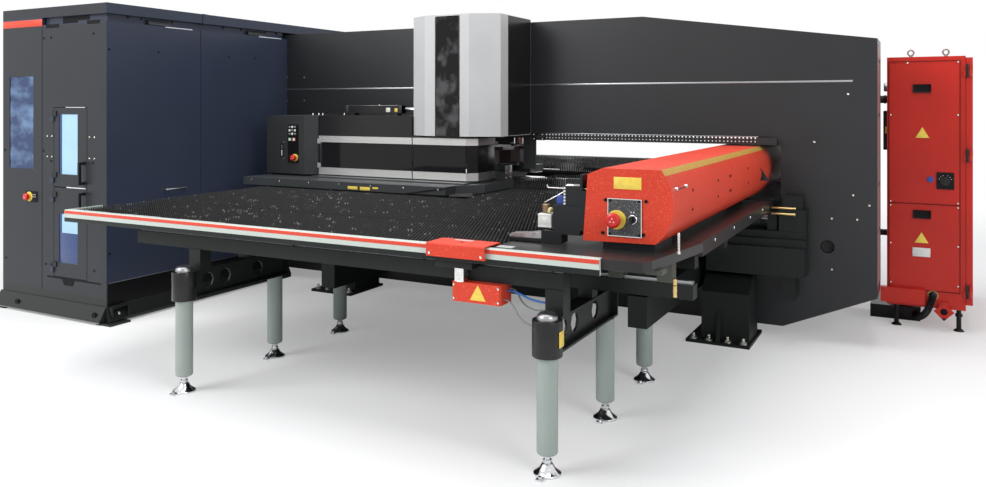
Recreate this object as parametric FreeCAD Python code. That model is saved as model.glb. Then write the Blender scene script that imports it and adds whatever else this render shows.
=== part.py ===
# Bridge-frame turret punch press with a brush table, a cross carriage with work
# clamps, a tool changer cabinet and an electrical cabinet.
# One script builds every separate piece and writes one STEP file for each.
# X runs along the bridge frame, Y runs along the table through the throat, Z is up.
# The origin is on the floor below the middle of the whole machine.
# All lengths are in millimetres. Everything is tied to the values below.
import FreeCAD, Part
import math
import os

os.makedirs("parts", exist_ok=True)
V = FreeCAD.Vector

# ---------------------------------------------------------------- whole machine
pass_z = 930.0            # height of the table surface
half_table = 3164.0       # table edge from the middle plane
machine_h = 2300.0        # top of the tool changer roof
gap = 0.3                 # usual clearance between fixed neighbours
seat = 0.2                # joint line of pieces that are bolted face to face

# ---------------------------------------------------------------- bridge frame
frame_half = 586.0        # half thickness of the frame
front_face = -frame_half  # the side of the frame that the operator sees
frame_x0 = -2700.0
frame_x1 = 2785.0
frame_z0 = 85.0
frame_z1 = machine_h - 95.0
slope_x = 1240.0          # where the top begins to slope down
slope_z = machine_h - 310.0   # height of the right end
cut_x = 2210.0            # lower right corner is cut off from here
cut_z = 330.0
throat_x0 = -1480.0
throat_x1 = 2198.0
throat_z1 = 1350.0
bed_z = 790.0             # top of the lower jaw
throat_r = 95.0

# ---------------------------------------------------------------- punching centre
punch_x = -44.0
turret_pitch = 510.0      # radius of the ring of stations
turret_x = punch_x - turret_pitch
turret_r = turret_pitch + 80.0
upper_z0 = 1085.0
upper_z1 = 1190.0
lower_z0 = 815.0
lower_z1 = 912.0
station_count = 12
station_r = 46.0
fit_gap = 0.5             # radial clearance of guided round pieces
ring_sides = 12           # flat sides of the ram, its guide and the bearing rings
tool_sides = 6            # flat sides of the punches, the dies and their stations

# ---------------------------------------------------------------- table
board_z = 888.0           # underside of the moving boards
table_y = -half_table     # outer edge of the table
strip_y1 = table_y + 602.0    # rear edge of the moving strip
fixed_y0 = strip_y1 + 6.0     # front edge of the fixed table
table_x0 = -1532.0
plate_x0 = 1352.0         # the smooth plate begins here
plate_x1 = 2155.0
brush_pitch = 229.0
brush_w = 150.0
fixed_x0 = -1560.0

# ---------------------------------------------------------------- stand
leg_xs = (-530.0, 1642.0)
row1_y = table_y - 8.0
row2_y = table_y + 700.0
row3_y = table_y + 1344.0
cross_z0 = 500.0
cross_z1 = 655.0
low_beam_z0 = 325.0
low_beam_z1 = 500.0
front_beam_y = table_y + 104.0
rail_beam_y = table_y + 464.0
beam_top = 864.0

# ---------------------------------------------------------------- carriage
car_y = half_table - 224.0    # the cover ends here on both sides
car_x0 = 1712.0
car_z0 = 963.0
car_z1 = 1287.0
beam_x0 = 1792.0
beam_x1 = 2030.0
beam_z0 = 985.0
beam_z1 = 1190.0
clamp_ys = (55.0 - car_y, 820.0 - car_y, 1585.0 - car_y)
screw_y = front_face - 74.0
screw_z = 815.0
screw_r = 18.0

# ---------------------------------------------------------------- tool changer cabinet
pdc_x0 = -3325.0
pdc_x1 = -2110.0
pdc_y0 = -2460.0
pdc_y1 = 640.0
pdc_z0 = 122.0
pdc_zw = machine_h - 134.0    # top of the wall panels
pdc_step_x = -2840.0      # joint between the two front sections
sheet = 4.0

# ---------------------------------------------------------------- electrical cabinet
cab_x0 = 2811.0
cab_x1 = 3340.0
cab_y0 = 120.0
cab_y1 = 1420.0
cab_z0 = 155.0
cab_z1 = machine_h - 398.0

names = []


def save(shape, name):
    """Write one piece to its own STEP file."""
    if isinstance(shape, (list, tuple)):
        shape = Part.makeCompound([one for one in shape])
    shape.exportStep("parts/" + name + ".step")
    names.append(name)


def box(x0, y0, z0, x1, y1, z1):
    """Block between two opposite corners."""
    return Part.makeBox(x1 - x0, y1 - y0, z1 - z0, V(x0, y0, z0))


def rod(x, y, z, r, length, axis="z"):
    """Cylinder that starts at a point and runs along one axis."""
    way = {"x": V(1, 0, 0), "y": V(0, 1, 0), "z": V(0, 0, 1)}[axis]
    return Part.makeCylinder(r, length, V(x, y, z), way)


def plan(points, z0, z1):
    """Outline drawn from above, raised from z0 to z1."""
    ring = [V(x, y, z0) for x, y in points]
    face = Part.Face(Part.makePolygon(ring + [ring[0]]))
    return face.extrude(V(0, 0, z1 - z0))


def front(points, y0, y1):
    """Outline drawn from the front, stretched from y0 to y1."""
    ring = [V(x, y0, z) for x, z in points]
    face = Part.Face(Part.makePolygon(ring + [ring[0]]))
    return face.extrude(V(0, y1 - y0, 0))


def side(points, x0, x1):
    """Outline drawn from the side, stretched from x0 to x1."""
    ring = [V(x0, y, z) for y, z in points]
    face = Part.Face(Part.makePolygon(ring + [ring[0]]))
    return face.extrude(V(x1 - x0, 0, 0))


def fuse(*shapes):
    """Join shapes to one body."""
    whole = shapes[0]
    for one in shapes[1:]:
        whole = whole.fuse(one)
    return whole.removeSplitter()


def cut(shape, *tools):
    """Take tools away from a shape."""
    return shape.cut(Part.makeCompound(list(tools)))


def facets(points, origin, axis, sides):
    """Profile of radius and distance turned about any axis, with flat sides."""
    way = V(*axis)
    aside = V(0, 0, 1) if abs(way.z) < 0.5 else V(1, 0, 0)
    across = way.cross(aside)
    start = V(*origin)
    turns = [2 * math.pi * i / sides for i in range(sides)]
    rings = []
    for r, d in points:
        ring = [start + way * d + aside * (r * math.cos(t)) + across * (r * math.sin(t)) for t in turns]
        rings.append(ring if r > 0 else ring[:1])
    return skin(rings, sides)


def skin(rings, sides):
    """Solid whose flat faces join each ring of corners to the next; a single point closes an end."""
    faces = []
    for low, high in zip(rings, rings[1:] + rings[:1]):
        if len(low) == 1 and len(high) == 1:
            continue
        if len(low) == 1 or len(high) == 1:
            flat = low if len(high) == 1 else high
            faces.append(Part.Face(Part.makePolygon(flat + [flat[0]])))
            continue
        for i in range(sides):
            j = (i + 1) % sides
            faces.append(Part.Face(Part.makePolygon([low[i], low[j], high[j], high[i], low[i]])))
    solid = Part.makeSolid(Part.makeShell(faces))
    if solid.Volume < 0:
        solid.reverse()
    return solid


def prism(x, y, z, r, length, axis="z", sides=8):
    """Bar with flat sides whose corners lie on a radius."""
    way = {"x": (1, 0, 0), "y": (0, 1, 0), "z": (0, 0, 1)}[axis]
    return facets([(0, 0), (r, 0), (r, length), (0, length)], (x, y, z), way, sides)


def round_hole(r, sides=8):
    """Corner radius of a flat-sided hole that a bar of radius r still turns in."""
    return r / math.cos(math.pi / sides)


def mirror_y(shape):
    """The same piece on the other side of the middle plane."""
    return shape.mirror(V(0, 0, 0), V(0, 1, 0))


def pair(shape):
    """A piece and its twin on the other side of the middle plane."""
    return [shape, mirror_y(shape)]


def rounded(shape, radius, test):
    """Round the edges whose middle point passes a test."""
    picked = [edge for edge in shape.Edges if test(edge)]
    return shape.makeFillet(radius, picked) if picked else shape


def middle(edge):
    """Middle point of an edge."""
    return edge.valueAt((edge.FirstParameter + edge.LastParameter) / 2.0)


def along_y(edge):
    """True where an edge runs along Y."""
    a = edge.Vertexes[0].Point
    b = edge.Vertexes[-1].Point
    return abs(a.x - b.x) < 0.01 and abs(a.z - b.z) < 0.01


def tube(points, r, bend, sides=6):
    """Cable or hose along straight runs, with every bend cut in three mitres."""
    spine = [V(*points[0])]
    for before, corner, after in zip(points, points[1:], points[2:]):
        back = (V(*before) - V(*corner)).normalize()
        on = (V(*after) - V(*corner)).normalize()
        half = back.getAngle(on) / 2.0
        inward = (back + on).normalize()
        length = bend / math.tan(half)
        depth = bend / math.sin(half) - bend
        spine += [V(*corner) + back * length, V(*corner) + inward * depth, V(*corner) + on * length]
    spine.append(V(*points[-1]))
    runs = [(b - a).normalize() for a, b in zip(spine, spine[1:])]
    aside = runs[0].cross(V(0, 0, 1)).normalize()
    across = runs[0].cross(aside)
    turns = [2 * math.pi * i / sides for i in range(sides)]
    ring = [spine[0] + aside * (r * math.cos(t)) + across * (r * math.sin(t)) for t in turns]
    rings = [[spine[0]], ring]
    for place, run, ahead in zip(spine[1:], runs, runs[1:] + runs[-1:]):
        mitre = run + ahead
        ring = [p + run * ((place - p).dot(mitre) / run.dot(mitre)) for p in ring]
        rings.append(ring)
    return skin(rings + [[spine[-1]]], sides)


def hinge(x, y, z, r, carries):
    """Knuckle with its pin, and the ring on the pin. The pin of the hinge that carries is round."""
    pin = r * 0.45
    core = rod(x, y, z + 39, pin, 41) if carries else prism(x, y, z + 39, pin, 41, "z", 6)
    still = fuse(prism(x, y, z, r, 40, "z", 6), core)
    hole = prism(x, y, z + 39, round_hole(pin + 0.3, 6), 42, "z", 6)
    return still, cut(prism(x, y, z + 40.5, r, 39, "z", 6), hole)


# ================================================================ bridge frame
outline = [
    (frame_x0, frame_z0),
    (cut_x, frame_z0),
    (frame_x1, cut_z),
    (frame_x1, slope_z),
    (slope_x, frame_z1),
    (frame_x0, frame_z1),
]
bridge = front(outline, -frame_half, frame_half)
throat = box(throat_x0, -frame_half - 1, bed_z, throat_x1, frame_half + 1, throat_z1)
throat = rounded(
    throat, throat_r, lambda e: along_y(e) and middle(e).z > throat_z1 - 1 and middle(e).x > 0
)
ram_bore_r = 90.0
ram_bore_top = throat_z1 + 450.0
shaft_bore_r = 70.0
ram_bore = round_hole(ram_bore_r, ring_sides)
shaft_bore = round_hole(shaft_bore_r, ring_sides)
sight_hole_x = 2489.0
sight_hole_z = 638.0
sight_hole_r = 44.0
rear_set = 60.0           # the rear part of the column stands back this much
bridge = cut(
    bridge,
    throat,
    prism(punch_x, 0, throat_z1 - 1, ram_bore, ram_bore_top - throat_z1, "z", ring_sides),
    prism(punch_x, 0, frame_z0 - 1, 62, bed_z - frame_z0 + 2, "z"),
    prism(turret_x, 0, bed_z - 160, shaft_bore, 170, "z", ring_sides),
    prism(turret_x, 0, throat_z1 - 10, shaft_bore, 170, "z", ring_sides),
    prism(sight_hole_x, front_face - 1, sight_hole_z, sight_hole_r, 90, "y", 12),
    box(frame_x1 - rear_set, -200, frame_z0 - 1, frame_x1 + 1, frame_half + 1, frame_z1 + 1),
)
# open cable tray along the lower edge of the upper jaw, with its end block
tray_y0 = front_face - 54.0
tray_y1 = front_face + 26.0
tray_z0 = throat_z1 - 52.0
tray_t = 12.0
tray = side([(tray_y0, tray_z0), (tray_y1, tray_z0), (tray_y1, throat_z1 + 2),
             (tray_y1 - tray_t, throat_z1 + 2), (tray_y1 - tray_t, tray_z0 + tray_t),
             (tray_y0 + tray_t, tray_z0 + tray_t), (tray_y0 + tray_t, throat_z1 - 4),
             (tray_y0, throat_z1 - 4)], 383, 2179)
tray_end = box(389, tray_y0, tray_z0, 492, tray_y1, throat_z1 + 2)
save(fuse(bridge, tray, tray_end), "bridge_frame")

# ---- four flanged feet that carry the frame
foot_z = 20.0
bolt_y = front_face - 326.0


def frame_foot(x0, x1):
    """Flange plate, two ribs and a block against the frame."""
    mid = (x0 + x1) / 2.0
    plate = box(x0, front_face - 364, 0, x1, front_face + 90, foot_z)
    block_y = front_face - 284.0
    block = side(
        [(block_y, foot_z), (front_face - gap, foot_z), (front_face - gap, 430), (block_y + 130, 430),
         (block_y, 330)],
        x0 + 85,
        x1 - 15,
    )
    rib = side([(block_y - 65, foot_z), (block_y + 1, foot_z), (block_y + 1, 230)], mid - 12, mid + 12)
    under = box(x0 + 40, -frame_half - gap, foot_z, x1 - 40, -frame_half + 90, frame_z0)
    return fuse(plate, block, rib, under)


foot_spans = ((-1520.0, -1110.0), (1650.0, 2060.0))
feet = []
bolts = []
for x0, x1 in foot_spans:
    feet += pair(frame_foot(x0, x1))
    for x in (x0 + 45, (x0 + x1) / 2.0 - 60, (x0 + x1) / 2.0 + 60, x1 - 45):
        bolts += pair(prism(x, bolt_y, foot_z + seat, 20, 16, "z", 6))
save(feet, "frame_feet")
save(bolts, "anchor_bolts")

# ================================================================ head cover
head_y = front_face - 614.0
head_z0 = 1336.0
head_z1 = machine_h - 74.0
head_pts = [
    (-383, -frame_half - gap),
    (-383, head_y + 80),
    (-233, head_y),
    (145, head_y),
    (346, head_y + 106),
    (346, -frame_half - gap),
]
inner_pts = [
    (-379, -frame_half - gap + 1),
    (-379, head_y + 82.5),
    (-232, head_y + sheet),
    (144, head_y + sheet),
    (342, head_y + 108.5),
    (342, -frame_half - gap + 1),
]
window_x0 = -140.0
window_x1 = 64.0
cover = cut(
    plan(head_pts, head_z0, head_z1),
    plan(inner_pts, head_z0 - 1, head_z1 - sheet),
    box(window_x0 - gap, head_y - 1, head_z0 - 1, window_x1 + gap, head_y + sheet + 1, head_z1 - sheet - 6),
)
save(cover, "head_cover")
save(box(window_x0, head_y - 2, head_z0 + 2, window_x1, head_y + sheet + 4, head_z1 - sheet - 10),
     "head_window")
# servo motor on the end of the crankshaft, behind the window
motor_z = head_z1 - 321.0
motor = facets(
    [(0, 0), (165, 0), (165, 40), (145, 60), (145, 330), (120, 352), (120, 470), (0, 470)],
    (punch_x, front_face - 480, motor_z), (0, 1, 0), 14)
stool = box(punch_x - 70, front_face - 314, motor_z - 305, punch_x + 70, front_face - gap, motor_z - 100)
save(fuse(motor, stool), "servo_motor")

# ================================================================ ram and turrets
ram_top = ram_bore_top - 40.0
ram_z0 = 1232.0
ram_r = round_hole(ram_bore_r - fit_gap, ring_sides)
ram = facets([(0, 0), (38, 0), (38, 60), (ram_r, 90), (ram_r, ram_top - ram_z0), (0, ram_top - ram_z0)],
             (punch_x, 0, ram_z0), (0, 0, 1), ring_sides)
save(ram, "ram")
guide_hole = prism(punch_x, 0, throat_z1 - 63, ram_bore, 64, "z", ring_sides)
guide = cut(prism(punch_x, 0, throat_z1 - 62, 150, 61.5, "z", ring_sides), guide_hole)


def stations():
    """Angles of the stations, the first one under the ram."""
    return [2 * math.pi * i / station_count for i in range(station_count)]


def spot(angle, radius):
    """Point on a circle round the turret axis."""
    return turret_x + radius * math.cos(angle), radius * math.sin(angle)


shaft_r = 55.0
upper = prism(turret_x, 0, upper_z0, turret_r, upper_z1 - upper_z0, "z", 32)
hub_up = prism(turret_x, 0, upper_z1 + seat, 130, 70, "z", ring_sides)
bores = [prism(*spot(a, turret_pitch), upper_z0 - 1, station_r, 130, "z", tool_sides) for a in stations()]
up_shaft = rod(turret_x, 0, upper_z1 + 70 + 2 * seat, shaft_r, throat_z1 + 29 - upper_z1)
save([cut(upper, *bores), hub_up, up_shaft], "upper_turret")
lower = prism(turret_x, 0, lower_z0, turret_r, lower_z1 - lower_z0, "z", 32)
bores = [prism(*spot(a, turret_pitch), lower_z0 - 1, station_r, 130, "z", tool_sides) for a in stations()]
low_shaft = rod(turret_x, 0, bed_z - 120, shaft_r, lower_z0 - bed_z + 120 - seat)
save([cut(lower, *bores), low_shaft], "lower_turret")
# rings in the jaws that guide the ram and carry the turret shafts
def shaft_ring(z, length):
    """Bearing ring pressed into a jaw."""
    outside = prism(turret_x, 0, z, round_hole(shaft_bore_r - gap, ring_sides), length, "z", ring_sides)
    hole = prism(turret_x, 0, z - 1, round_hole(shaft_r + fit_gap, ring_sides), length + 2, "z", ring_sides)
    return cut(outside, hole)


up_ring = shaft_ring(throat_z1 - 1, 90)
low_ring = shaft_ring(bed_z - 92, 92)
save([up_ring, low_ring, guide], "jaw_bearings")
punches = []
dies = []
tool_r = station_r - 0.1
for a in stations():
    px, py = spot(a, turret_pitch)
    punch = [(0, 0), (20, 0), (20, 36), (tool_r, 36), (tool_r, 168), (0, 168)]
    punches.append(facets(punch, (px, py, upper_z0 - 36), (0, 0, 1), tool_sides))
    die = [(16, 0), (tool_r, 0), (tool_r, 99), (16, 99)]
    dies.append(facets(die, (px, py, lower_z0), (0, 0, 1), tool_sides))
save(punches, "punches")
save(dies, "dies")

# ================================================================ turret guard, control box
guard_y = front_face - 554.0
guard_x0 = -1281.0
guard_x1 = 88.0
guard_c = 60.0
split_x = -376.0
band_z0 = 1319.0
band_z1 = 1482.0
rail_a0 = 1267.0
rail_b0 = 1008.0
rail_b1 = 1064.0
guard_back = front_face - 229.0


def guard_path(x0, x1, out, t, corner):
    """Outline from above of a strip that follows the guard."""
    y = guard_y - out
    if not corner:
        return [(x0, y), (x1, y), (x1, y + t), (x0, y + t)]
    c = guard_c
    e = x1 + c + out
    k = t * 0.41
    return [
        (x0, y), (x1 + out * 0.4, y), (e, y + c + out * 0.6), (e, guard_back),
        (e - t, guard_back), (e - t, y + c + out * 0.6 + k), (x1 + out * 0.4 - k, y + t), (x0, y + t),
    ]


door_x0 = guard_x0 + 4
door_x1 = split_x - 6
door_rails = fuse(
    plan(guard_path(door_x0, door_x1, 8, 44, False), rail_a0, band_z0 - 2),
    plan(guard_path(door_x0, door_x1, 8, 44, False), rail_b0, rail_b1),
    box(door_x0, guard_y - 8, rail_b1, door_x0 + 26, guard_y + 36, rail_a0),
    box(door_x1 - 26, guard_y + 6, rail_b1, door_x1, guard_y + 36, rail_a0),
)
grooves = []
for z in (rail_a0 + 17, rail_a0 + 33, rail_b0 + 18, rail_b0 + 36):
    grooves.append(box(door_x0 - 1, guard_y - 9, z, door_x1 + 1, guard_y - 4, z + 4))
door_axis_x = guard_x0
door_axis_y = guard_y - 12
door_knuckles = []
box_knuckles = []
for z, carries in ((1020.0, True), (1215.0, False)):
    still, ring = hinge(door_axis_x, door_axis_y, z, 5, carries)
    leaf = box(door_axis_x + 3, door_axis_y - 3, z + 40.5, door_x0 + 26, guard_y + 7, z + 79.5)
    door_knuckles.append(fuse(ring, leaf))
    plate = box(door_axis_x - 15, door_axis_y - 3, z, door_axis_x, guard_y + 2, z + 40)
    box_knuckles.append(fuse(still, plate))
save(fuse(cut(door_rails, *grooves), *door_knuckles), "guard_door")
pane = box(door_x0 + 26.5, guard_y, rail_b1 + fit_gap, door_x1 - 2, guard_y + 5.5, rail_a0 - fit_gap)
save(pane, "guard_door_window")
fixed_rails = fuse(
    plan(guard_path(split_x + 2, guard_x1, 8, 44, True), rail_a0, band_z0 - 2),
    plan(guard_path(split_x + 2, guard_x1, 8, 44, True), rail_b0, rail_b1),
    box(split_x + 2, guard_y + 6, rail_b1, split_x + 28, guard_y + 36, rail_a0),
    plan([(guard_x1 + 2, guard_y + 4), (guard_x1 + guard_c, guard_y + guard_c + 2),
          (guard_x1 + guard_c, guard_back), (guard_x1 + guard_c - 4, guard_back),
          (guard_x1 + guard_c - 4, guard_y + guard_c + 4), (guard_x1 - 2, guard_y + 8)], rail_b1, rail_a0),
)
save(fixed_rails, "guard_fixed_frame")
save(box(split_x + 4, guard_y, rail_b1 + 0.5, guard_x1 - 6, guard_y + 5.5, rail_a0 - 0.5), "guard_window")
band = fuse(
    plan(guard_path(guard_x0, guard_x1, 0, 30, True), band_z0, 1334),
    box(guard_x0, guard_y, band_z0, -388, guard_y + 30, band_z1),
    box(guard_x0, guard_y, band_z1 - 30, -388, -frame_half - gap, band_z1),
)
# tool changing cylinder on top of the guard with its bright rod
cyl_y = front_face - 344.0
cylinder = fuse(
    box(-1150, cyl_y - 30, 1500, -600, cyl_y + 30, 1560),
    box(-1100, cyl_y - 30, band_z1, -1060, cyl_y + 30, 1500),
    box(-680, cyl_y - 30, band_z1, -640, cyl_y + 30, 1500),
    prism(-600, cyl_y, 1531, 15, 216.5, "x", 10),
)
save(fuse(band, cylinder), "guard_upper_band")

# ---- deck round the lower turret and its brackets on the frame
deck_y0 = front_face - 869.0
deck_y1 = front_face - 104.0
bracket_y = front_face - 114.0
deck = plan([(-1789, deck_y0), (90, deck_y0), (90, deck_y0 + 155), (250, deck_y0 + 305),
             (250, deck_y1), (-1500, deck_y1), (-1500, front_face - gap), (-1789, front_face - gap)],
            932, 990)
ramp = front([(-246, 931), (91, 931), (91, 986)], deck_y0 - 1, deck_y0 + 15)
bracket = [(deck_y0 + 155, 933), (front_face - gap, 933), (front_face - gap, 640), (bracket_y, 640)]
skirts = [side(bracket, x, x + 24) for x in (-1760, -1100, -420)]
bracket = [(deck_y0 + 335, 933), (front_face - 30, 933), (front_face - 30, 640), (bracket_y, 640)]
skirts.append(side(bracket, 200, 224))
lip = box(-1284, guard_y - 100, 988, 130, guard_y + 80, 1000)
# steel block behind the right end of the guard
end_notch = box(150, guard_back, 1060, 239, deck_y1 - 50, 1109)
end_block = cut(box(120, guard_back + gap, 988, 238, deck_y1, 1108), end_notch)
# plain deck and guard panel behind the turrets
rear_x1 = -318.0
rear_y0 = frame_half + 104.0
rear_y1 = frame_half + 349.0
rear_bracket = [(frame_half + gap, 933), (rear_y1, 933), (-bracket_y, 640), (frame_half + gap, 640)]
rear_deck = fuse(
    box(-1500, rear_y0, 932, rear_x1 + 60, rear_y1 + 60, 990),
    side(rear_bracket, -1400, -1376),
    side(rear_bracket, -420, -396),
    plan([(guard_x0, rear_y1), (rear_x1 - 50, rear_y1), (rear_x1, rear_y1 - 50), (rear_x1, rear_y0),
          (rear_x1 - 30, rear_y0), (rear_x1 - 30, rear_y1 - 62), (rear_x1 - 62, rear_y1 - 30),
          (guard_x0, rear_y1 - 30)], 989, 1345),
)
save([fuse(cut(deck, ramp), lip, end_block, *skirts), rear_deck], "turret_deck")

# ---- control box
ctrl_x0 = -1789.0
ctrl_y = front_face - 604.0
ctrl_z0 = 1004.0
ctrl_z1 = 1478.0
ctrl = plan([(ctrl_x0, ctrl_y), (-1391, ctrl_y), (-1287, guard_y), (-1287, front_face - 214),
             (-1500, bracket_y), (-1500, front_face - gap), (ctrl_x0, front_face - gap)], ctrl_z0, ctrl_z1)
panel_x0 = -1562.0
panel_x1 = -1452.0
panel_z0 = 1095.0
panel_z1 = 1405.0
ctrl = cut(ctrl, box(panel_x0, ctrl_y - 1, panel_z0, panel_x1, ctrl_y + 4, panel_z1))
start_x = -1530.0
stop_x = -1488.0
push_z = 1285.0
push_r = 11.0             # round part of the two push buttons
estop_x = -1484.0
estop_z = 1136.0
stem_r = 8.0              # stem of every mushroom head and knob
pockets = [prism(x, ctrl_y + 3, push_z, push_r + fit_gap, 12, "y") for x in (start_x, stop_x)]
pockets.append(prism(estop_x, ctrl_y + 3, estop_z, round_hole(stem_r + fit_gap), 12, "y"))
ctrl = cut(ctrl, *pockets)
legs_of_box = [box(x, ctrl_y + 40, 990, x + 60, front_face - 34, ctrl_z0 + 1) for x in (-1770, -1580)]
save(fuse(ctrl, *legs_of_box, *box_knuckles), "control_box")
plate = box(panel_x0 + 1, ctrl_y - 2, panel_z0 + 1, panel_x1 - 1, ctrl_y + 4, panel_z1 - 1)
button_r = 9.0
lamp_spots = [(x, z) for z in (1385.0, 1357.0, 1329.0) for x in (-1536.0, -1508.0, -1479.0)]
holes = [prism(x, ctrl_y - 3, push_z, push_r + fit_gap, 8, "y") for x in (start_x, stop_x)]
holes.append(prism(estop_x, ctrl_y - 3, estop_z, round_hole(stem_r + fit_gap), 8, "y"))
lamps = [prism(x, ctrl_y - 9, z, button_r, 10, "y", 6) for x, z in lamp_spots]
save(fuse(cut(plate, *holes), *lamps), "control_panel")
for x, name in ((start_x, "control_start_button"), (stop_x, "control_stop_button")):
    cap = box(x - 13, ctrl_y - 14, push_z - 13, x + 13, ctrl_y - 6, push_z + 13)
    save(fuse(cap, prism(x, ctrl_y - 6.5, push_z, push_r, 10, "y")), name)


def mushroom(x, y, z, big):
    """Mushroom head with a stem that goes into its plate."""
    profile = [(0, -6), (stem_r, -6), (stem_r, 16), (big * 0.62, 18), (big, 26), (big, 34), (big * 0.7, 40)]
    return facets(profile + [(0, 40)], (x, y, z), (0, -1, 0), 10)


def collar(x, y, z, big):
    """Flat ring round the stem of a mushroom head."""
    hole = round_hole(stem_r + fit_gap, 12)
    return facets([(hole, 0.0), (big, 0.0), (big, 7), (hole, 9)], (x, y, z), (0, -1, 0), 12)


save(mushroom(estop_x, ctrl_y - 2, estop_z, 20), "control_estop")

# ================================================================ tables
board_t = 24.0
board_y1 = front_face - 120.0     # rear edge of the front board beside the deck
main_board = plan([(fixed_x0, fixed_y0), (plate_x1 - 5, fixed_y0), (plate_x1 - 5, board_y1), (256, board_y1),
                   (256, deck_y0 + 311), (96, deck_y0 + 159), (96, deck_y0 - 4), (fixed_x0, deck_y0 - 4)],
                  beam_top, beam_top + board_t)
side_plate = box(plate_x0, fixed_y0, board_z - 1, plate_x1 - 5, board_y1, pass_z)
front_table = fuse(main_board, side_plate)
centre_y = frame_half + 26.0
foot_y = frame_half - 26.0
centre_table = fuse(
    box(-200, -centre_y, beam_top, plate_x1 - 5, centre_y, beam_top + board_t),
    box(plate_x0, -centre_y, board_z - 1, plate_x1 - 5, centre_y, pass_z),
    box(300, -foot_y, bed_z, 380, foot_y, beam_top),
    box(1150, -foot_y, bed_z, 1230, foot_y, beam_top),
    box(2040, -foot_y, bed_z, 2120, foot_y, beam_top),
)
centre_table = cut(centre_table, rod(turret_x, 0, beam_top - 1, turret_r + 8, 80))
save([front_table, mirror_y(front_table), centre_table], "fixed_tables")


def brush_rows(x0, x1, y0, y1):
    """Rows of bristles that stand on a board, spread evenly from end to end."""
    steps = round((x1 - x0 - brush_w) / brush_pitch)
    step = (x1 - x0 - brush_w) / steps
    starts = [x0 + i * step for i in range(steps + 1)]
    return [box(x, y0, board_z, x + brush_w, y1, pass_z) for x in starts]


rows = []
for row in brush_rows(fixed_x0 + 8, plate_x0 - 6, fixed_y0 + 6, deck_y0 - 10):
    rows += pair(row)
for row in brush_rows(262, plate_x0 - 6, deck_y0 - 5, board_y1 - 6):
    rows += pair(row)
rows += brush_rows(60, plate_x0 - 6, 6 - centre_y, centre_y - 6)
save(rows, "fixed_brushes")

# ---- moving strips at both ends of the table
strip_board = box(table_x0, -half_table, beam_top, plate_x0 + 2, strip_y1, beam_top + board_t)
strip_plate = plan([(plate_x0, -half_table), (2058, -half_table), (2080, -half_table + 50),
                    (plate_x1, strip_y1), (plate_x0, strip_y1)], board_z - 1, pass_z)
pin_x = 1196.0
pin_y = table_y + 39.0
pin_r = 8.0
strip = cut(fuse(strip_board, strip_plate), prism(pin_x, pin_y, beam_top - 1, pin_r + fit_gap, 100))
save(pair(strip), "moving_strips")
rows = []
for row in brush_rows(table_x0 + 8, plate_x0 - 6, -half_table + 18, strip_y1 - 6):
    if row.BoundBox.XMin < pin_x + 60 and row.BoundBox.XMax > pin_x - 60:
        row = box(row.BoundBox.XMin, pin_y + 75, board_z, row.BoundBox.XMax, strip_y1 - 6, pass_z)
    rows += pair(row)
save(rows, "strip_brushes")
# ---- bumper profile along the outer edge
e = -half_table
bumper = side([(e - 0.3, 862), (e - 10, 862), (e - 17, 872), (e - 17, 926), (e - 12, 934), (e + 12, 934),
               (e + 12, 930.5), (e - 0.3, 930.5)], table_x0 - 8, 1879)
end_strip = box(table_x0 - 8, e - gap + seat, 862, table_x0 - gap, e + 240, 934)
save(pair(bumper) + pair(end_strip), "edge_bumpers")

# ================================================================ stand
leg_r = 46.0


def leg(x, y, top):
    """Tube with a rounded lower end."""
    return facets([(0, 85), (28, 85), (leg_r, 118), (leg_r, top), (0, top)], (x, y, 0), (0, 0, 1), 8)


def cap(x, y, z):
    """Rounded top of a leg that looks out of its socket."""
    return facets([(0, 0), (leg_r, 0), (leg_r, 10), (leg_r - 12, 28), (0, 28)], (x, y, z), (0, 0, 1), 8)


def foot(x, y):
    """Ball foot, its bolt lug and its spindle."""
    bell_r = 60.0
    bell = facets([(0, 0), (bell_r, 0), (14, 48), (0, 48)], (x, y, 0), (0, 0, 1), 8)
    spindle = prism(x, y, 48 + seat, 12, 84.6 - 48 - seat, "z", 6)
    lug = box(x - 16, y - 90, 0, x + 16, y - bell_r - seat, 9)
    return [bell, spindle, lug]


legs = []
leg_feet = []
for x in leg_xs:
    legs += pair(leg(x, row1_y, cross_z0 - seat)) + pair(cap(x, row1_y, cross_z1 + seat))
    legs += pair(leg(x, row2_y, cross_z0 - seat))
    legs += pair(leg(x, row3_y, low_beam_z0 - seat))
    for y in (row1_y, row2_y, row3_y):
        for piece in foot(x, y):
            leg_feet += pair(piece)
save(legs, "table_legs")
save(leg_feet, "leg_feet")

socket_r = 64.0
web_hole_r = 45.0


def cross_beam(x):
    """Open channel with round holes, from the first to the second leg."""
    y1 = row2_y + 80
    mid_z = (cross_z0 + cross_z1) / 2
    web = box(x - 6, row1_y, cross_z0, x + 6, y1, cross_z1)
    holes = [prism(x - 7, row1_y + d, mid_z, web_hole_r, 14, "x") for d in (162, 292, 552)]
    top = box(x - 40, row1_y, cross_z1 - 10, x + 40, y1, cross_z1)
    low = box(x - 40, row1_y, cross_z0, x + 40, y1, cross_z0 + 10)
    end = prism(x, row1_y, cross_z0, socket_r, cross_z1 - cross_z0)
    tail = box(x - 40, y1 - 10, cross_z0, x + 40, y1, cross_z1)
    return fuse(cut(web, *holes), top, low, end, tail)


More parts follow.
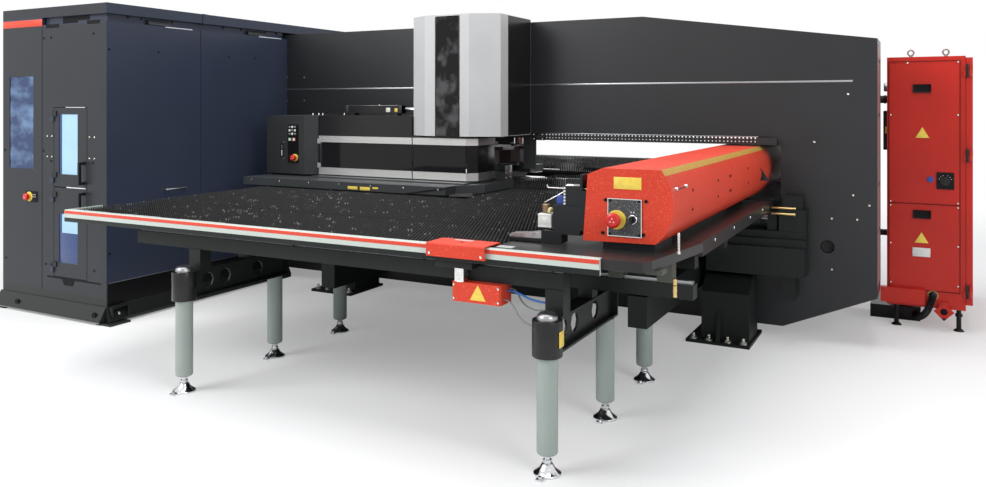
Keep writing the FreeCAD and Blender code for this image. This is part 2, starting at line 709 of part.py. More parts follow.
front_beam_z0 = 765.0
front_beam_z1 = 835.0
rail_beam_z0 = 698.0
rail_beam_z1 = 762.0
front_beam_x1 = leg_xs[1] + 42
stand = []
for x in leg_xs:
    stand.append(cross_beam(x))
    # post to the front beam, post to the rail beam, post to the second table beam
    post_z0 = cross_z1 + seat
    stand.append(box(x - 42, front_beam_y - 40, post_z0, x + 42, front_beam_y + 40, front_beam_z0 - seat))
    stand.append(box(x - 35, rail_beam_y - 35, post_z0, x + 35, rail_beam_y + 35, rail_beam_z0 - seat))
    stand.append(box(x - 35, row2_y - 35, post_z0, x + 35, row2_y + 35, 790 - seat))
    # low beam to the bridge frame with the post of the third row
    stand.append(box(x - 55, row3_y - 130, low_beam_z0, x + 55, front_face - gap, low_beam_z1))
    stand.append(box(x - 35, row3_y - 35, low_beam_z1 + seat, x + 35, row3_y + 35, 790 - seat))
stand.append(box(-1000, front_beam_y - 35, front_beam_z0, front_beam_x1, front_beam_y + 35, front_beam_z1))
stand.append(box(-1000, rail_beam_y - 35, rail_beam_z0, plate_x1 - 3, rail_beam_y + 35, rail_beam_z1))
stand.append(box(-1500, row2_y - 35, 790, 2100, row2_y + 35, beam_top - seat))
stand.append(box(-1500, row3_y - 35, 790, 2100, row3_y + 35, beam_top - seat))
near_y0 = front_face - 214.0      # table beam beside the frame
near_y1 = front_face - 154.0
stand.append(box(300, near_y0, 790, 2100, near_y1, beam_top - seat))
stand.append(box(leg_xs[1] - 35, near_y0, low_beam_z1 + seat, leg_xs[1] + 35, near_y1, 790 - seat))
stand.append(box(300, near_y1 + seat, 740, 360, front_face - gap, beam_top - seat))
save([one for beam in stand for one in pair(beam)], "table_stand")

rails = pair(box(-990, rail_beam_y - 14, rail_beam_z1, plate_x1 - 10, rail_beam_y + 14, rail_beam_z1 + 16))
rails += pair(box(-990, front_beam_y - 14, front_beam_z1, 1675, front_beam_y + 14, front_beam_z1 + 14))
save(rails, "guide_rails")


def block(x, y, z, low):
    """Bearing block that sits over a rail and carries the strip."""
    body = box(x, y - 34, z + 3, x + 70, y + 34, beam_top)
    return cut(body, box(x - 1, y - 14.5, z, x + 71, y + 14.5, z + low + 0.6))


blocks = []
for x in (100.0, 900.0, 1757.0, 1987.0):
    blocks += pair(block(x, rail_beam_y, rail_beam_z1, 16.0))
for x in (100.0, 900.0, 1560.0):
    blocks += pair(block(x, front_beam_y, front_beam_z1, 14.0))
save(blocks, "rail_blocks")

# ================================================================ carriage
saddle_rail_zs = (1015.0, 1145.0)
wall = 12.0
beam = cut(box(beam_x0, -car_y + 5.5, beam_z0, beam_x1, car_y - 5.5, beam_z1),
           box(beam_x0 + wall, -car_y, beam_z0 + wall, beam_x1 - wall, car_y, beam_z1 - wall))
parts = [beam]
for z in saddle_rail_zs:
    parts.append(box(beam_x0 - 14, 35 - car_y, z, beam_x0, car_y - 35, z + 22))
for s in (-1, 1):
    y0, y1 = sorted((s * (car_y - 40), s * (car_y - 300)))
    parts.append(box(beam_x0, y0, pass_z, beam_x1, y1, beam_z0))
nut_x0 = 1850.0
nut_x1 = 1950.0
parts.append(box(nut_x0, screw_y - 22, screw_z - 30, nut_x1, screw_y + 22, beam_z0))
parts.append(prism(nut_x0, screw_y, screw_z, 34, nut_x1 - nut_x0, "x", 12))
nut_hole = prism(nut_x0 - 1, screw_y, screw_z, round_hole(screw_r + fit_gap, 12), 110, "x", 12)
beam = cut(fuse(*parts), nut_hole)
save(beam, "carriage_beam")

cover_left = [(car_x0, car_z0), (1734, 1259), (1803, car_z1), (2063, car_z1)]
barrel_mid = (2121.0, 1150.0)
cover_low = (2043.0, 968.0)


def cover_wire(y):
    """Outline of the carriage cover with its rounded right side."""
    pts = [V(x, y, z) for x, z in cover_left]
    last = V(cover_low[0], y, cover_low[1])
    edges = [Part.makeLine(pts[i], pts[i + 1]) for i in range(3)]
    edges.append(Part.Arc(pts[3], V(barrel_mid[0], y, barrel_mid[1]), last).toShape())
    edges.append(Part.makeLine(last, pts[0]))
    return Part.Wire(edges)


outer = cover_wire(-car_y)
inner = outer.makeOffset2D(-sheet)
shell = Part.Face(outer).extrude(V(0, 2 * car_y, 0))
hollow = Part.Face(inner).extrude(V(0, 2 * car_y - 10, 0))
hollow.translate(V(0, 5, 0))
shell = cut(
    shell,
    hollow,
    box(car_x0 - 2, -car_y + 12, 975, 1744, car_y - 12, 1212),
    box(1730, -car_y + 12, car_z0 - 2, 2036, car_y - 12, 976),
)
est_x = 1864.0
est_z = 1064.0
knob_x = 1943.0
knob_z = 1069.0
shell = cut(shell, box(1845, -car_y - 1, 1010, 1972, -car_y + 6, 1140))
save(shell, "carriage_cover")
switch_plate = box(1832, -car_y - 4, 993, 1983, -car_y - 0.3, 1157)
switch_plate = cut(
    switch_plate,
    prism(est_x, -car_y - 5, est_z, round_hole(stem_r + fit_gap), 8, "y"),
    prism(knob_x, -car_y - 5, knob_z, round_hole(stem_r + gap, 12), 8, "y", 12),
)
ring = collar(est_x, -car_y - 4, est_z, 34)
save(fuse(switch_plate, ring), "carriage_switch_plate")
save(mushroom(est_x, -car_y - 15, est_z, 25), "carriage_estop")
knob = fuse(
    rod(knob_x, -car_y - 6, knob_z, stem_r, 8, "y"),
    prism(knob_x, -car_y - 16, knob_z, 17, 11, "y", 10),
    box(knob_x - 5, -car_y - 30, knob_z - 16, knob_x + 5, -car_y - 15, knob_z + 16),
)
save(knob, "selector_knob")

# ---- saddle with three clamps
saddle_x0 = 1750.0
saddle_y0 = 14.0 - car_y
saddle_y1 = 1640.0 - car_y
saddle = box(saddle_x0, saddle_y0, 1000, beam_x0 - 14.5, saddle_y1, 1185)
hooks = []
for y in (saddle_y0 + 26, saddle_y0 + 726, saddle_y0 + 1526):
    hooks.append(box(saddle_x0 + 2, y, 1038, beam_x0 - 1, y + 70, 1143.5))
save(fuse(saddle, *hooks), "saddle")
pivot_x = 1525.0
pivot_z = 968.0
bodies = []
jaws = []
body_line = [(1335, 935), (1600, 935), (1600, 978), (1690, 978), (1690, 1000), (saddle_x0 - gap, 1000),
             (saddle_x0 - gap, 1180), (1702, 1180), (1702, 1252), (1690, 1252), (1690, 1109), (1560, 1109),
             (1560, 947), (1335, 947)]
for y in clamp_ys:
    body = front(body_line, y - 38, y + 38)
    top = box(1608, y - 30, 1108, 1691, y + 30, 1198)
    shelf = box(1618, y - 30, 1209, 1691, y + 30, 1230)
    cheeks = [box(1500, y + s * 34 - 4, 946, 1561, y + s * 34 + 4, 990) for s in (-1, 1)]
    pin = rod(pivot_x, y - 36, pivot_z, 7, 72, "y")
    bodies.append(fuse(body, top, shelf, pin, *cheeks))
    profile = [(1333, 949), (1480, 950), (1545, 955), (1548, 980), (1500, 984), (1430, 972), (1340, 964),
               (1331, 957)]
    hole = prism(pivot_x, y - 40, pivot_z, round_hole(7 + gap, 12), 80, "y", 12)
    jaws.append(cut(front(profile, y - 28, y + 28), hole))
save(bodies, "clamp_bodies")
save(jaws, "clamp_jaws")
y = clamp_ys[0]
valve = fuse(
    box(1481, y - 36, 1002, 1548, y + 36, 1070),
    box(1548, y - 20, 1010, 1559.7, y + 20, 1060),
    prism(1508, y, 1069, 18, 45, "z", 12),
    box(1500, y - 6, 1114, 1516, y + 6, 1130),
    front([(1500, 1122), (1508, 1114), (1607.7, 1172), (1607.7, 1180), (1600, 1180)], y - 6, y + 6),
)
save(valve, "clamp_valve")

# ---- drive of the carriage
save(facets([(0, 0), (14, 0), (14, 60), (screw_r, 60), (screw_r, 1520), (14, 1520), (14, 1564), (0, 1564)],
            (606, screw_y, screw_z), (1, 0, 0), 12), "ballscrew")
drive = fuse(
    box(600, front_face - 142, 690, 2372, front_face - gap, 738),
    box(600, screw_y - 40, 738, 660, screw_y + 40, 858),
    box(2130, screw_y - 40, 738, 2190, screw_y + 40, 858),
    box(1750, front_face - 214, 455, 2372, front_face - gap, 640),
    box(1750, front_face - 174, 640, 2372, front_face - gap, 690),
    box(2205, front_face - 136, 738, 2372, front_face - gap, 880),
    box(2230, front_face - 114, 880, 2350, front_face - 24, 965),
    box(2238, front_face - 174, 300, 2310, front_face - gap, 456),
)
journal_hole = round_hole(14 + fit_gap)
drive = cut(drive, prism(599, screw_y, screw_z, journal_hole, 62, "x"),
            prism(2129, screw_y, screw_z, journal_hole, 62, "x"))
save(drive, "drive_unit")

# ---- sheet locator at the outer edge
loc_x0 = 1054.0
loc_x1 = 1356.0
h0 = table_y - 42.0       # outer face of the hood
h1 = table_y + 108.0
hood = side([(h0, 882), (h0, 938), (h0 + 4, 942), (h1, 942), (h1, 930.5), (h1 - 3, 930.5),
             (h1 - 3, 939), (h0 + 6, 939), (h0 + 3, 936), (h0 + 3, 882)], loc_x0, loc_x1)
hood = cut(hood, prism(pin_x, pin_y, 930, pin_r + 4, 20))
lip = box(loc_x0, h0 + 3, 882, loc_x1, h0 + 22, 885)
mount = box(1070, pin_y - 25, 826, 1262, pin_y + 25, beam_top - gap)
barrel = box(pin_x - 22, pin_y - 22, 766, pin_x + 22, pin_y + 22, 827)
holder = cut(fuse(mount, barrel), prism(pin_x, pin_y, 769.5, pin_r + fit_gap, 120))
save([fuse(hood, lip), holder], "sheet_locator")
save(prism(pin_x, pin_y, 770, pin_r, 166), "locator_pin")

# ---- junction box and its cables under the front beam
jbox_x = 1279.0
jbox_y = row1_y + 84.5
jbox_half_x = 125.0
jbox_half_y = 57.5
corner = 8.0
jbox_pts = [(jbox_x + a * jbox_half_x, jbox_y + b * (jbox_half_y - corner)) for a, b in ((1, -1), (1, 1))]
jbox_pts += [(jbox_x + a * (jbox_half_x - corner), jbox_y + jbox_half_y) for a in (1, -1)]
jbox_pts += [(jbox_x - jbox_half_x, jbox_y + b * (jbox_half_y - corner)) for b in (1, -1)]
jbox_pts += [(jbox_x + a * (jbox_half_x - corner), jbox_y - jbox_half_y) for a in (-1, 1)]
save(plan(jbox_pts, 676, front_beam_z0 - gap), "junction_box")
cable_x0 = 1404.5
post_face_x = leg_xs[1] - 42.5
high_y = row1_y + 92.0
cable_a_way = [(cable_x0, high_y, 735), (1450, high_y, 735), (1530, high_y, 700), (post_face_x, high_y, 700)]
cable_a = tube(cable_a_way, 5, 24)
socket_face_x = leg_xs[1] - socket_r - 0.6
low_y = row1_y + 62.0
cable_b_way = [(cable_x0, low_y, 700), (1440, low_y, 700), (1520, row1_y, 620), (socket_face_x, row1_y, 620)]
cable_b = tube(cable_b_way, 4, 18)
save([cable_a, cable_b], "stand_cables")

# ================================================================ tool changer cabinet
wall_t = 20.0
neck_x = frame_x0 - gap   # the cabinet stands against the end of the frame
neck_y = -frame_half - gap


def pdc_outline(inset):
    """Outline of the cabinet from above, set in by one amount all round."""
    x0, x1 = pdc_x0 + inset, pdc_x1 - inset
    y0, y1 = pdc_y0 + inset, pdc_y1 - inset
    nx, ny = neck_x - inset, neck_y - inset
    return [(x0, y0), (x1, y0), (x1, ny), (nx, ny), (nx, y1), (x0, y1)]


ring = pdc_outline(0)
ring_in = pdc_outline(wall_t)
ring_set = pdc_outline(30)
door_l = -2702.0
door_r = -2322.0
door_z0 = 288.0
door_zs = 955.0
door_z1 = 1549.0
win_l = -3240.0
win_r = -2946.0
win_z0 = 1076.0
win_z1 = 1784.0
roof_z0 = machine_h - 78.0
walls = cut(
    plan(ring, pdc_z0, pdc_zw),
    plan(ring_in, pdc_z0 + wall_t, pdc_zw + 1),
    box(door_l, pdc_y0 - 1, door_z0, door_r, pdc_y0 + wall_t + 1, door_z1),
    box(win_l, pdc_y0 - 1, win_z0, win_r, pdc_y0 + wall_t + 1, win_z1),
)
seam_y = -1600.0
seams = [
    box(pdc_step_x - 3, pdc_y0 - 1, pdc_z0 + 60, pdc_step_x + 3, pdc_y0 + 5, pdc_zw + 1),
    box(pdc_x1 - 5, seam_y - 4, pdc_z0 + 60, pdc_x1 + 1, seam_y + 4, pdc_zw + 1),
]
walls = cut(walls, *seams)
collar_band = cut(plan(ring_set, pdc_zw, roof_z0), box(pdc_x0 + 60, pdc_y0 + 60, pdc_zw - 1, pdc_x1 - 60,
                                                       neck_y - 40, roof_z0 + 1))
roof = box(pdc_x0, pdc_y0, roof_z0, pdc_x1, pdc_y1, machine_h - 2)
fascia = box(pdc_x0, pdc_y0, pdc_zw - 6, pdc_step_x, pdc_y0 + 24, roof_z0 + 1)
joint = box(pdc_x1 - 60, -1580, roof_z0 - 3, pdc_x1 + 6, -1540, machine_h)
skirt_y0 = pdc_y0 - 60
base = side([(pdc_y0 - 6, pdc_z0), (skirt_y0, 34), (skirt_y0, 14), (pdc_y0 + 60, 14), (pdc_y0 + 60, pdc_z0)],
            pdc_x0 - 15, pdc_x1)
base_side = front([(pdc_x1 - 60, 14), (pdc_x1 + 46, 14), (pdc_x1 + 46, 34), (pdc_x1 + 4, pdc_z0),
                   (pdc_x1 - 60, pdc_z0)], pdc_y0 - 6, neck_y)
base_back = box(pdc_x0, pdc_y1 - 80, 14, neck_x, pdc_y1, pdc_z0)
base_left = box(pdc_x0, pdc_y0, 14, pdc_x0 + 60, pdc_y1, pdc_z0)
pads = [
    box(pdc_x0 - 15, pdc_y0 - 60, 0, pdc_x0 + 110, pdc_y0 + 60, 14),
    box(pdc_x1 - 60, pdc_y0 - 40, 0, pdc_x1 + 90, pdc_y0 + 130, 14),
    box(pdc_x0, pdc_y1 - 90, 0, pdc_x0 + 120, pdc_y1, 14),
    box(pdc_x1 - 60, neck_y - 140, 0, pdc_x1 + 46, neck_y, 14),
]
shelves = [box(pdc_x0 + 90, -1900, z, -2760, 300, z + 14) for z in (600.0, 1050.0, 1500.0)]
column = box(pdc_x0 + wall_t - 1, -1900, 300, pdc_x0 + 91, 300, pdc_zw - 266)
estop_plate = box(-3040, pdc_y0 - 4, 828, -2895, pdc_y0 + 2, 908)
pdc_est_x = -2988.0
pdc_est_z = 868.0
plates = cut(estop_plate, prism(pdc_est_x, pdc_y0 - 5, pdc_est_z, round_hole(stem_r + fit_gap), 8, "y"))
walls = cut(walls, prism(pdc_est_x, pdc_y0 - 5, pdc_est_z, 10, 30, "y"))
stops = [box(door_l - 1, pdc_y0 + wall_t, door_zs - 16, door_r + 1, pdc_y0 + wall_t + 26, door_zs + 16)]
stops += [box(x, pdc_y0 + wall_t - 1, door_z0, x + 24, pdc_y0 + wall_t + 26, door_z1)
          for x in (door_l - 23.5, door_r - 0.5)]
hinge_x = door_l + 1
hinge_y = pdc_y0 - 8
door_hinges = {}
for z, carries in ((320.0, True), (840.0, False), (985.0, True), (1440.0, False)):
    still, ring = hinge(hinge_x, hinge_y, z, 7, carries)
    stops.append(fuse(still, box(hinge_x - 34, hinge_y - 2, z, hinge_x - 5, pdc_y0 + 1, z + 40)))
    leaf = box(hinge_x + 5, hinge_y - 2, z + 40.5, hinge_x + 34, pdc_y0 - 0.5, z + 79.5)
    door_hinges[z] = fuse(ring, leaf)
bases = [base, base_side, base_back, base_left]
cabinet = fuse(walls, collar_band, roof, fascia, joint, column, plates, *bases, *pads, *shelves, *stops)
save(cabinet, "changer_cabinet")
glass = box(win_l + fit_gap, pdc_y0 + 4, win_z0 + fit_gap, win_r - fit_gap, pdc_y0 + 10, win_z1 - fit_gap)
save(glass, "changer_front_window")
save(mushroom(pdc_est_x, pdc_y0 - 5, pdc_est_z, 22), "changer_estop")


def door(z0, z1, wz0, wz1, handle_z0, handle_z1):
    """Door leaf with a window opening and a bow handle."""
    leaf = box(door_l + 5, pdc_y0 - 1, z0, door_r - 4, pdc_y0 + 17, z1)
    leaf = cut(leaf, box(-2640, pdc_y0 - 2, wz0, -2428, pdc_y0 + 18, wz1))
    x = -2352.0
    a, b, c = pdc_y0 - 0.5, pdc_y0 - 34, pdc_y0 - 50
    z2, z3 = handle_z0, handle_z1
    grip = side([(a, z2 - 8), (b, z2 - 8), (c, z2 + 8), (c, z3 - 8), (b, z3 + 8), (a, z3 + 8), (a, z3 - 8),
                 (b, z3 - 8), (b, z2 + 8), (a, z2 + 8)], x - 8, x + 8)
    rings = [ring for z, ring in door_hinges.items() if z0 < z < z1]
    return fuse(leaf, grip, *rings)


save(door(door_zs + 4, door_z1 - 4, 1051, 1497, 995, 1140), "changer_upper_door")
save(door(door_z0 + 4, door_zs - 4, 395, 760, 800, 918), "changer_lower_door")
save(box(-2639.5, pdc_y0 + 4, 1051.5, -2428.5, pdc_y0 + 10, 1496.5), "upper_door_window")
save(box(-2639.5, pdc_y0 + 4, 395.5, -2428.5, pdc_y0 + 10, 759.5), "lower_door_window")

# ================================================================ electrical cabinet
cab_wall = 16.0
side_x = cab_x1 - 42
in_x0 = cab_x0 + cab_wall
in_y0 = cab_y0 + cab_wall
panel_split = cab_z0 + 721.0      # joint between the lower and the upper front panel
hole_x0 = cab_x0 + 29.0
hole_x1 = cab_x1 - 90.0
body = cut(
    box(cab_x0, cab_y0, cab_z0, side_x, cab_y1, cab_z1),
    box(in_x0, in_y0, cab_z0 + cab_wall, side_x + 1, cab_y1 - cab_wall, cab_z1 - cab_wall),
    box(hole_x0, cab_y0 - 1, cab_z0 + 135, hole_x1, in_y0 + 1, panel_split - 16),
    box(hole_x0, cab_y0 - 1, panel_split + 16, hole_x1, in_y0 + 1, cab_z1 - 46),
)
axis_x = cab_x1 - 14
axis_y = cab_y0 - 14
knuckles = []
leaves = []
for z, carries in ((250.0, True), (cab_z1 - 722.0, False), (cab_z1 - 142.0, False)):
    still, ring = hinge(axis_x, axis_y, z, 9, carries)
    knuckles.append(fuse(still, box(axis_x - 40, axis_y - 3, z, axis_x, axis_y + 3, z + 40)))
    knuckles.append(box(axis_x - 40, axis_y - 3, z, axis_x - 30, cab_y0 + 1, z + 40))
    leaves.append(fuse(ring, box(axis_x + 6, axis_y - 3, z + 40.5, cab_x1, axis_y + 3, z + 79.5)))
    leaves.append(box(cab_x1 - 6, axis_y - 3, z + 40.5, cab_x1, cab_y0 + 3, z + 79.5))
mount_plate = box(2980, cab_y0 + 300, 300, 3000, cab_y1 - 200, cab_z1 - 202)
stays = [box(cab_x0 + 2, cab_y0 + 320, z, 2981, cab_y0 + 360, z + 40) for z in (400.0, cab_z1 - 402.0)]
cab_feet = []
for x in (cab_x0 + 59, cab_x1 - 82):
    for y in (cab_y0 + 60, cab_y1 - 60):
        foot_line = [(0, 0), (34, 0), (13, 20), (13, cab_z0 + 1), (0, cab_z0 + 1)]
        cab_feet.append(facets(foot_line, (x, y, 0), (0, 0, 1), 6))
duct = fuse(box(2773, 60, 180, 3051, cab_y0 - 6, 283), box(2813, 60, 180, 3051, cab_y0 + 1, 270))
lug = cut(front([(3104, 141), (3166, 78), (3229, 141), (3166, 204)], 86, 98),
          prism(3166, 85, 141, 24, 14, "y"))
lug_stay = box(3136, 97, 168, 3196, cab_y0 + 1, 204)
floor_duct = box(2690, 340, 0, 3020, 1000, 95)
riser = box(2840, 500, 90, 2960, 620, cab_z0 + 2)
eyes = []
for x in (2960.0, 3180.0):
    eyes.append(facets([(14, 0), (20, -6), (26, 0), (20, 6)], (x, cab_y0 + 110, cab_z1 + 34), (0, 1, 0), 8))
    eyes.append(prism(x, cab_y0 + 110, cab_z1 - 2, 12, 17, "z", 6))
save(fuse(body, mount_plate, duct, lug, lug_stay, floor_duct, riser, *knuckles, *stays, *cab_feet, *eyes),
     "electrical_cabinet")
side_door = box(side_x + 2, cab_y0 + 2, cab_z0 + 40, cab_x1, cab_y1, cab_z1 - 12)
side_door = cut(side_door, box(side_x + 1, cab_y0 + 30, cab_z0 + 70, cab_x1 - 4, cab_y1 - 30, cab_z1 - 42))
save(fuse(side_door, *leaves), "cabinet_side_door")
switch_x = 3175.0
switch_z = 1040.0
front_x0 = hole_x0 - 14
front_x1 = hole_x1 + 13
panels = [box(front_x0, cab_y0 - 4, cab_z0 + 119, front_x1, cab_y0 - 0.2, panel_split - 3),
          box(front_x0, cab_y0 - 4, panel_split + 3, front_x1, cab_y0 - 0.2, cab_z1 - 32)]
cup_zs = (778.0, cab_z1 - 245.0)
grips = [box(2982, cab_y0 - 5, z, 3082, cab_y0 + 1, z + 46) for z in cup_zs]
panels = [cut(panels[0], grips[0]), cut(panels[1], grips[1])]
cups = []
for z in cup_zs:
    rim = box(2978, cab_y0 - 8, z - 4, 3086, cab_y0 - 3.9, z + 50)
    cups.append(cut(rim, box(2990, cab_y0 - 9, z + 4, 3074, cab_y0 - 3, z + 30)))
panels[0] = fuse(panels[0], cups[0])
escutcheon = box(switch_x - 52, cab_y0 - 9, switch_z - 56, switch_x + 52, cab_y0 - 3.9, switch_z + 57)
spindle_hole = prism(switch_x, cab_y0 - 12, switch_z, round_hole(10 + fit_gap), 14, "y")
panels[1] = cut(fuse(panels[1], cups[1], escutcheon), spindle_hole)
save(panels, "cabinet_panels")
spindle = rod(switch_x, cab_y0 - 10, switch_z, 10, 8, "y")
dial = prism(switch_x, cab_y0 - 24, switch_z, 32, 14.5, "y", 12)
lever = box(switch_x - 8, cab_y0 - 42, switch_z - 30, switch_x + 8, cab_y0 - 23, switch_z + 30)
save(fuse(spindle, dial, lever), "main_switch")
# ---- hose and the links between the frame and the cabinet
hose_way = [(3100, cab_y0 - 0.5, 244), (3100, 62, 244), (3060, 62, 120), (2990, 200, 50), (2990, 339.5, 50)]
hose = tube(hose_way, 24, 30)
link_x0 = frame_x1 - rear_set + 0.5
link_x1 = cab_x0 - 0.5
link = fuse(
    prism(link_x0, 200, cab_z1 - 297, 27, link_x1 - link_x0, "x"),
    box(link_x0, 150, cab_z1 - 658, link_x1, 330, cab_z1 - 379),
    prism(link_x0, 260, 640, 22, link_x1 - link_x0, "x"),
)
save([hose, link], "cabinet_hoses")
print("pieces", len(names))
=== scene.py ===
# %% [markdown]
# # A turret punch press, dressed for a photograph
# The solids of this machine come from a CAD model. Here they get their paint, steel,
# glass and rubber, and the small things that a CAD model leaves out: screws, seams,
# handles, hoses, lamps and plates. Every size is in metres. X runs along the machine,
# Y runs away from the operator, and Z is up.

# %% Load the solids
import bpy
import bmesh
import math
from mathutils import Matrix, Vector


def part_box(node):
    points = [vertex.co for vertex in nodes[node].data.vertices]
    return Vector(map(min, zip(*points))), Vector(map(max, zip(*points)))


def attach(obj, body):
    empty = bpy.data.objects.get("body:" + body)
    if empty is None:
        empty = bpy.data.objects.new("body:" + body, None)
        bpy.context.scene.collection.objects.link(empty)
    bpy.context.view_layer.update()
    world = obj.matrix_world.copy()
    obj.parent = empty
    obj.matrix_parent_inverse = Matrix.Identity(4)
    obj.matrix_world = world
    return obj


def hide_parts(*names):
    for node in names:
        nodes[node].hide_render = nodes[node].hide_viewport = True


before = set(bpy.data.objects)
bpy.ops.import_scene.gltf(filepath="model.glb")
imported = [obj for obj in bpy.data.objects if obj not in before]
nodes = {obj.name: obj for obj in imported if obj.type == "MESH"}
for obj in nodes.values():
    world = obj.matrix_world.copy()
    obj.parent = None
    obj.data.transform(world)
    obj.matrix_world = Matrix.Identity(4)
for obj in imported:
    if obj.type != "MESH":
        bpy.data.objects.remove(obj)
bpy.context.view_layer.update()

# %% [markdown]
# ## The camera
# The photograph was taken at about the height of a low tripod, level, with the horizon
# high in the picture. A level camera keeps upright edges upright. The horizon is moved
# with the camera's shift and not by tilting it, just as the photographer did.

# %% Camera
picture_width = 986
focal_pixels = 825.65
horizon_row = 104.87
middle_row = 243.5
camera_data = bpy.data.cameras.new("camera")
camera_data.sensor_width = 36.0
camera_data.lens = 36.0 * focal_pixels / picture_width
camera_data.shift_y = (horizon_row - middle_row) / picture_width
camera_data.clip_end = 100.0
camera = bpy.data.objects.new("camera", camera_data)
camera.location = (3.075, -6.380, 1.5655)
camera.rotation_euler = (math.radians(90.0), 0.0, math.radians(27.834))
bpy.context.scene.collection.objects.link(camera)
bpy.context.scene.camera = camera
bpy.context.scene.view_settings.view_transform = "Standard"
print("lens", round(camera_data.lens, 2), "shift", round(camera_data.shift_y, 4))

# %% [markdown]
# ## Small helpers for modelling
# A primitive is added at its place, and its place is then applied, so that the object
# sits at the origin and patterns in object space line up from piece to piece. Nothing
# else may be selected while an operator works, so the first helper clears the selection.


# %% Helpers for adding primitives
def deselect():
    """Leave edit mode and clear the selection."""
    if bpy.context.object and bpy.context.object.mode != "OBJECT":
        bpy.ops.object.mode_set(mode="OBJECT")
    bpy.ops.object.select_all(action="DESELECT")


def settle(name):
    """Name the new object and apply its place, turn and size."""
    piece = bpy.context.object
    piece.name = name
    piece.data.name = name
    bpy.ops.object.transform_apply(location=True, rotation=True, scale=True)
    return piece


def block(name, low, high):
    """Block between two opposite corners."""
    deselect()
    middle = [(a + b) / 2.0 for a, b in zip(low, high)]
    bpy.ops.mesh.primitive_cube_add(size=1.0, location=middle)
    bpy.context.object.scale = [b - a for a, b in zip(low, high)]
    return settle(name)


TURNS = {"x": (0.0, math.radians(90.0), 0.0), "y": (math.radians(90.0), 0.0, 0.0),
         "z": (0.0, 0.0, 0.0)}


def disc(name, centre, radius, depth, axis="z", sides=24, top=None):
    """Round bar or cone about its centre, along one axis."""
    deselect()
    bpy.ops.mesh.primitive_cone_add(
        vertices=sides, radius1=radius, radius2=radius if top is None else top,
        depth=depth, location=centre, rotation=TURNS[axis])
    return settle(name)


# %% [markdown]
# Real edges are never perfectly sharp. A small bevel on an edge catches the light and
# shows the eye where one face ends. The bevel is a modifier that is applied at once.


# %% Helpers for shaping
def activate(piece):
    """Make one piece the only selected and active one."""
    deselect()
    piece.select_set(True)
    bpy.context.view_layer.objects.active = piece


def soften(piece, width, segments=2, angle=35.0):
    """Round the sharp edges of a piece."""
    activate(piece)
    bevel = piece.modifiers.new("bevel", "BEVEL")
    bevel.width = width
    bevel.segments = segments
    bevel.limit_method = "ANGLE"
    bevel.angle_limit = math.radians(angle)
    bpy.ops.object.modifier_apply(modifier="bevel")
    bpy.ops.object.shade_smooth_by_angle(angle=math.radians(40.0))
    return piece


def pick_faces(piece, test):
    """Go to edit mode with only the faces selected that pass a test."""
    activate(piece)
    bpy.ops.object.mode_set(mode="EDIT")
    bpy.ops.mesh.select_mode(type="FACE")
    bpy.ops.mesh.select_all(action="DESELECT")
    mesh = bmesh.from_edit_mesh(piece.data)
    for face in mesh.faces:
        face.select = test(face)
    mesh.select_flush_mode()
    bmesh.update_edit_mesh(piece.data)


def sink(piece, test, rim, depth):
    """Inset some faces and push them in, as for a tray or a dished plate."""
    pick_faces(piece, test)
    bpy.ops.mesh.inset(thickness=rim, depth=-depth)
    bpy.ops.object.mode_set(mode="OBJECT")
    return piece


def joined(name, pieces):
    """Join pieces to one object."""
    deselect()
    for piece in pieces:
        piece.select_set(True)
    bpy.context.view_layer.objects.active = pieces[0]
    bpy.ops.object.join()
    pieces[0].name = name
    pieces[0].data.name = name
    return pieces[0]


def copied(piece, name, offset):
    """Copy of a piece with its own mesh, moved by an offset."""
    twin = piece.copy()
    twin.data = piece.data.copy()
    twin.data.transform(Matrix.Translation(offset))
    twin.name = name
    twin.data.name = name
    bpy.context.scene.collection.objects.link(twin)
    return twin


def row_of(piece, name, offsets):
    """One object that holds copies of a piece at several offsets."""
    twins = [copied(piece, name + "_copy", offset) for offset in offsets]
    bpy.data.objects.remove(piece, do_unlink=True)
    return joined(name, twins)


def finish_piece(piece, body, material):
    """Give a piece its material and the body that it rides on."""
    piece.data.materials.clear()
    piece.data.materials.append(material)
    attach(piece, body)
    return piece


# %% [markdown]
# ## Materials
# Paint on a machine is never one flat colour: it has a fine orange peel, slight clouds and a bit of dust.
# The peel and the clouds come from noise in object space, so they need no image and stay in place when a
# piece moves.


# %% Helper for a material's nodes
def start(name):
    """New node material; returns the material, a node maker, a linker and its shader."""
    material = bpy.data.materials.new(name)
    material.use_nodes = True
    tree = material.node_tree
    shader = tree.nodes["Principled BSDF"]

    def add(kind, **values):
        node = tree.nodes.new(kind)
        for key, value in values.items():
            if key in node.inputs:
                node.inputs[key].default_value = value
            else:
                setattr(node, key, value)
        return node

    return material, add, tree.links.new, shader


def noise_at(add, link, scale, detail=2.0, stretch=None):
    """Noise in object space, stretched along the axes if asked."""
    coordinates = add("ShaderNodeTexCoord")
    noise = add("ShaderNodeTexNoise", Scale=scale, Detail=detail)
    if stretch is None:
        link(coordinates.outputs["Object"], noise.inputs["Vector"])
    else:
        mapping = add("ShaderNodeMapping")
        mapping.inputs["Scale"].default_value = stretch
        link(coordinates.outputs["Object"], mapping.inputs["Vector"])
        link(mapping.outputs["Vector"], noise.inputs["Vector"])
    return noise


def shades(add, link, noise, dark, light, low=0.35, high=0.65):
    """Colour ramp between two shades, driven by a noise."""
    ramp = add("ShaderNodeValToRGB")
    ramp.color_ramp.elements[0].position = low
    ramp.color_ramp.elements[0].color = (*dark, 1.0)
    ramp.color_ramp.elements[1].position = high
    ramp.color_ramp.elements[1].color = (*light, 1.0)
    link(noise.outputs["Fac"], ramp.inputs["Fac"])
    return ramp


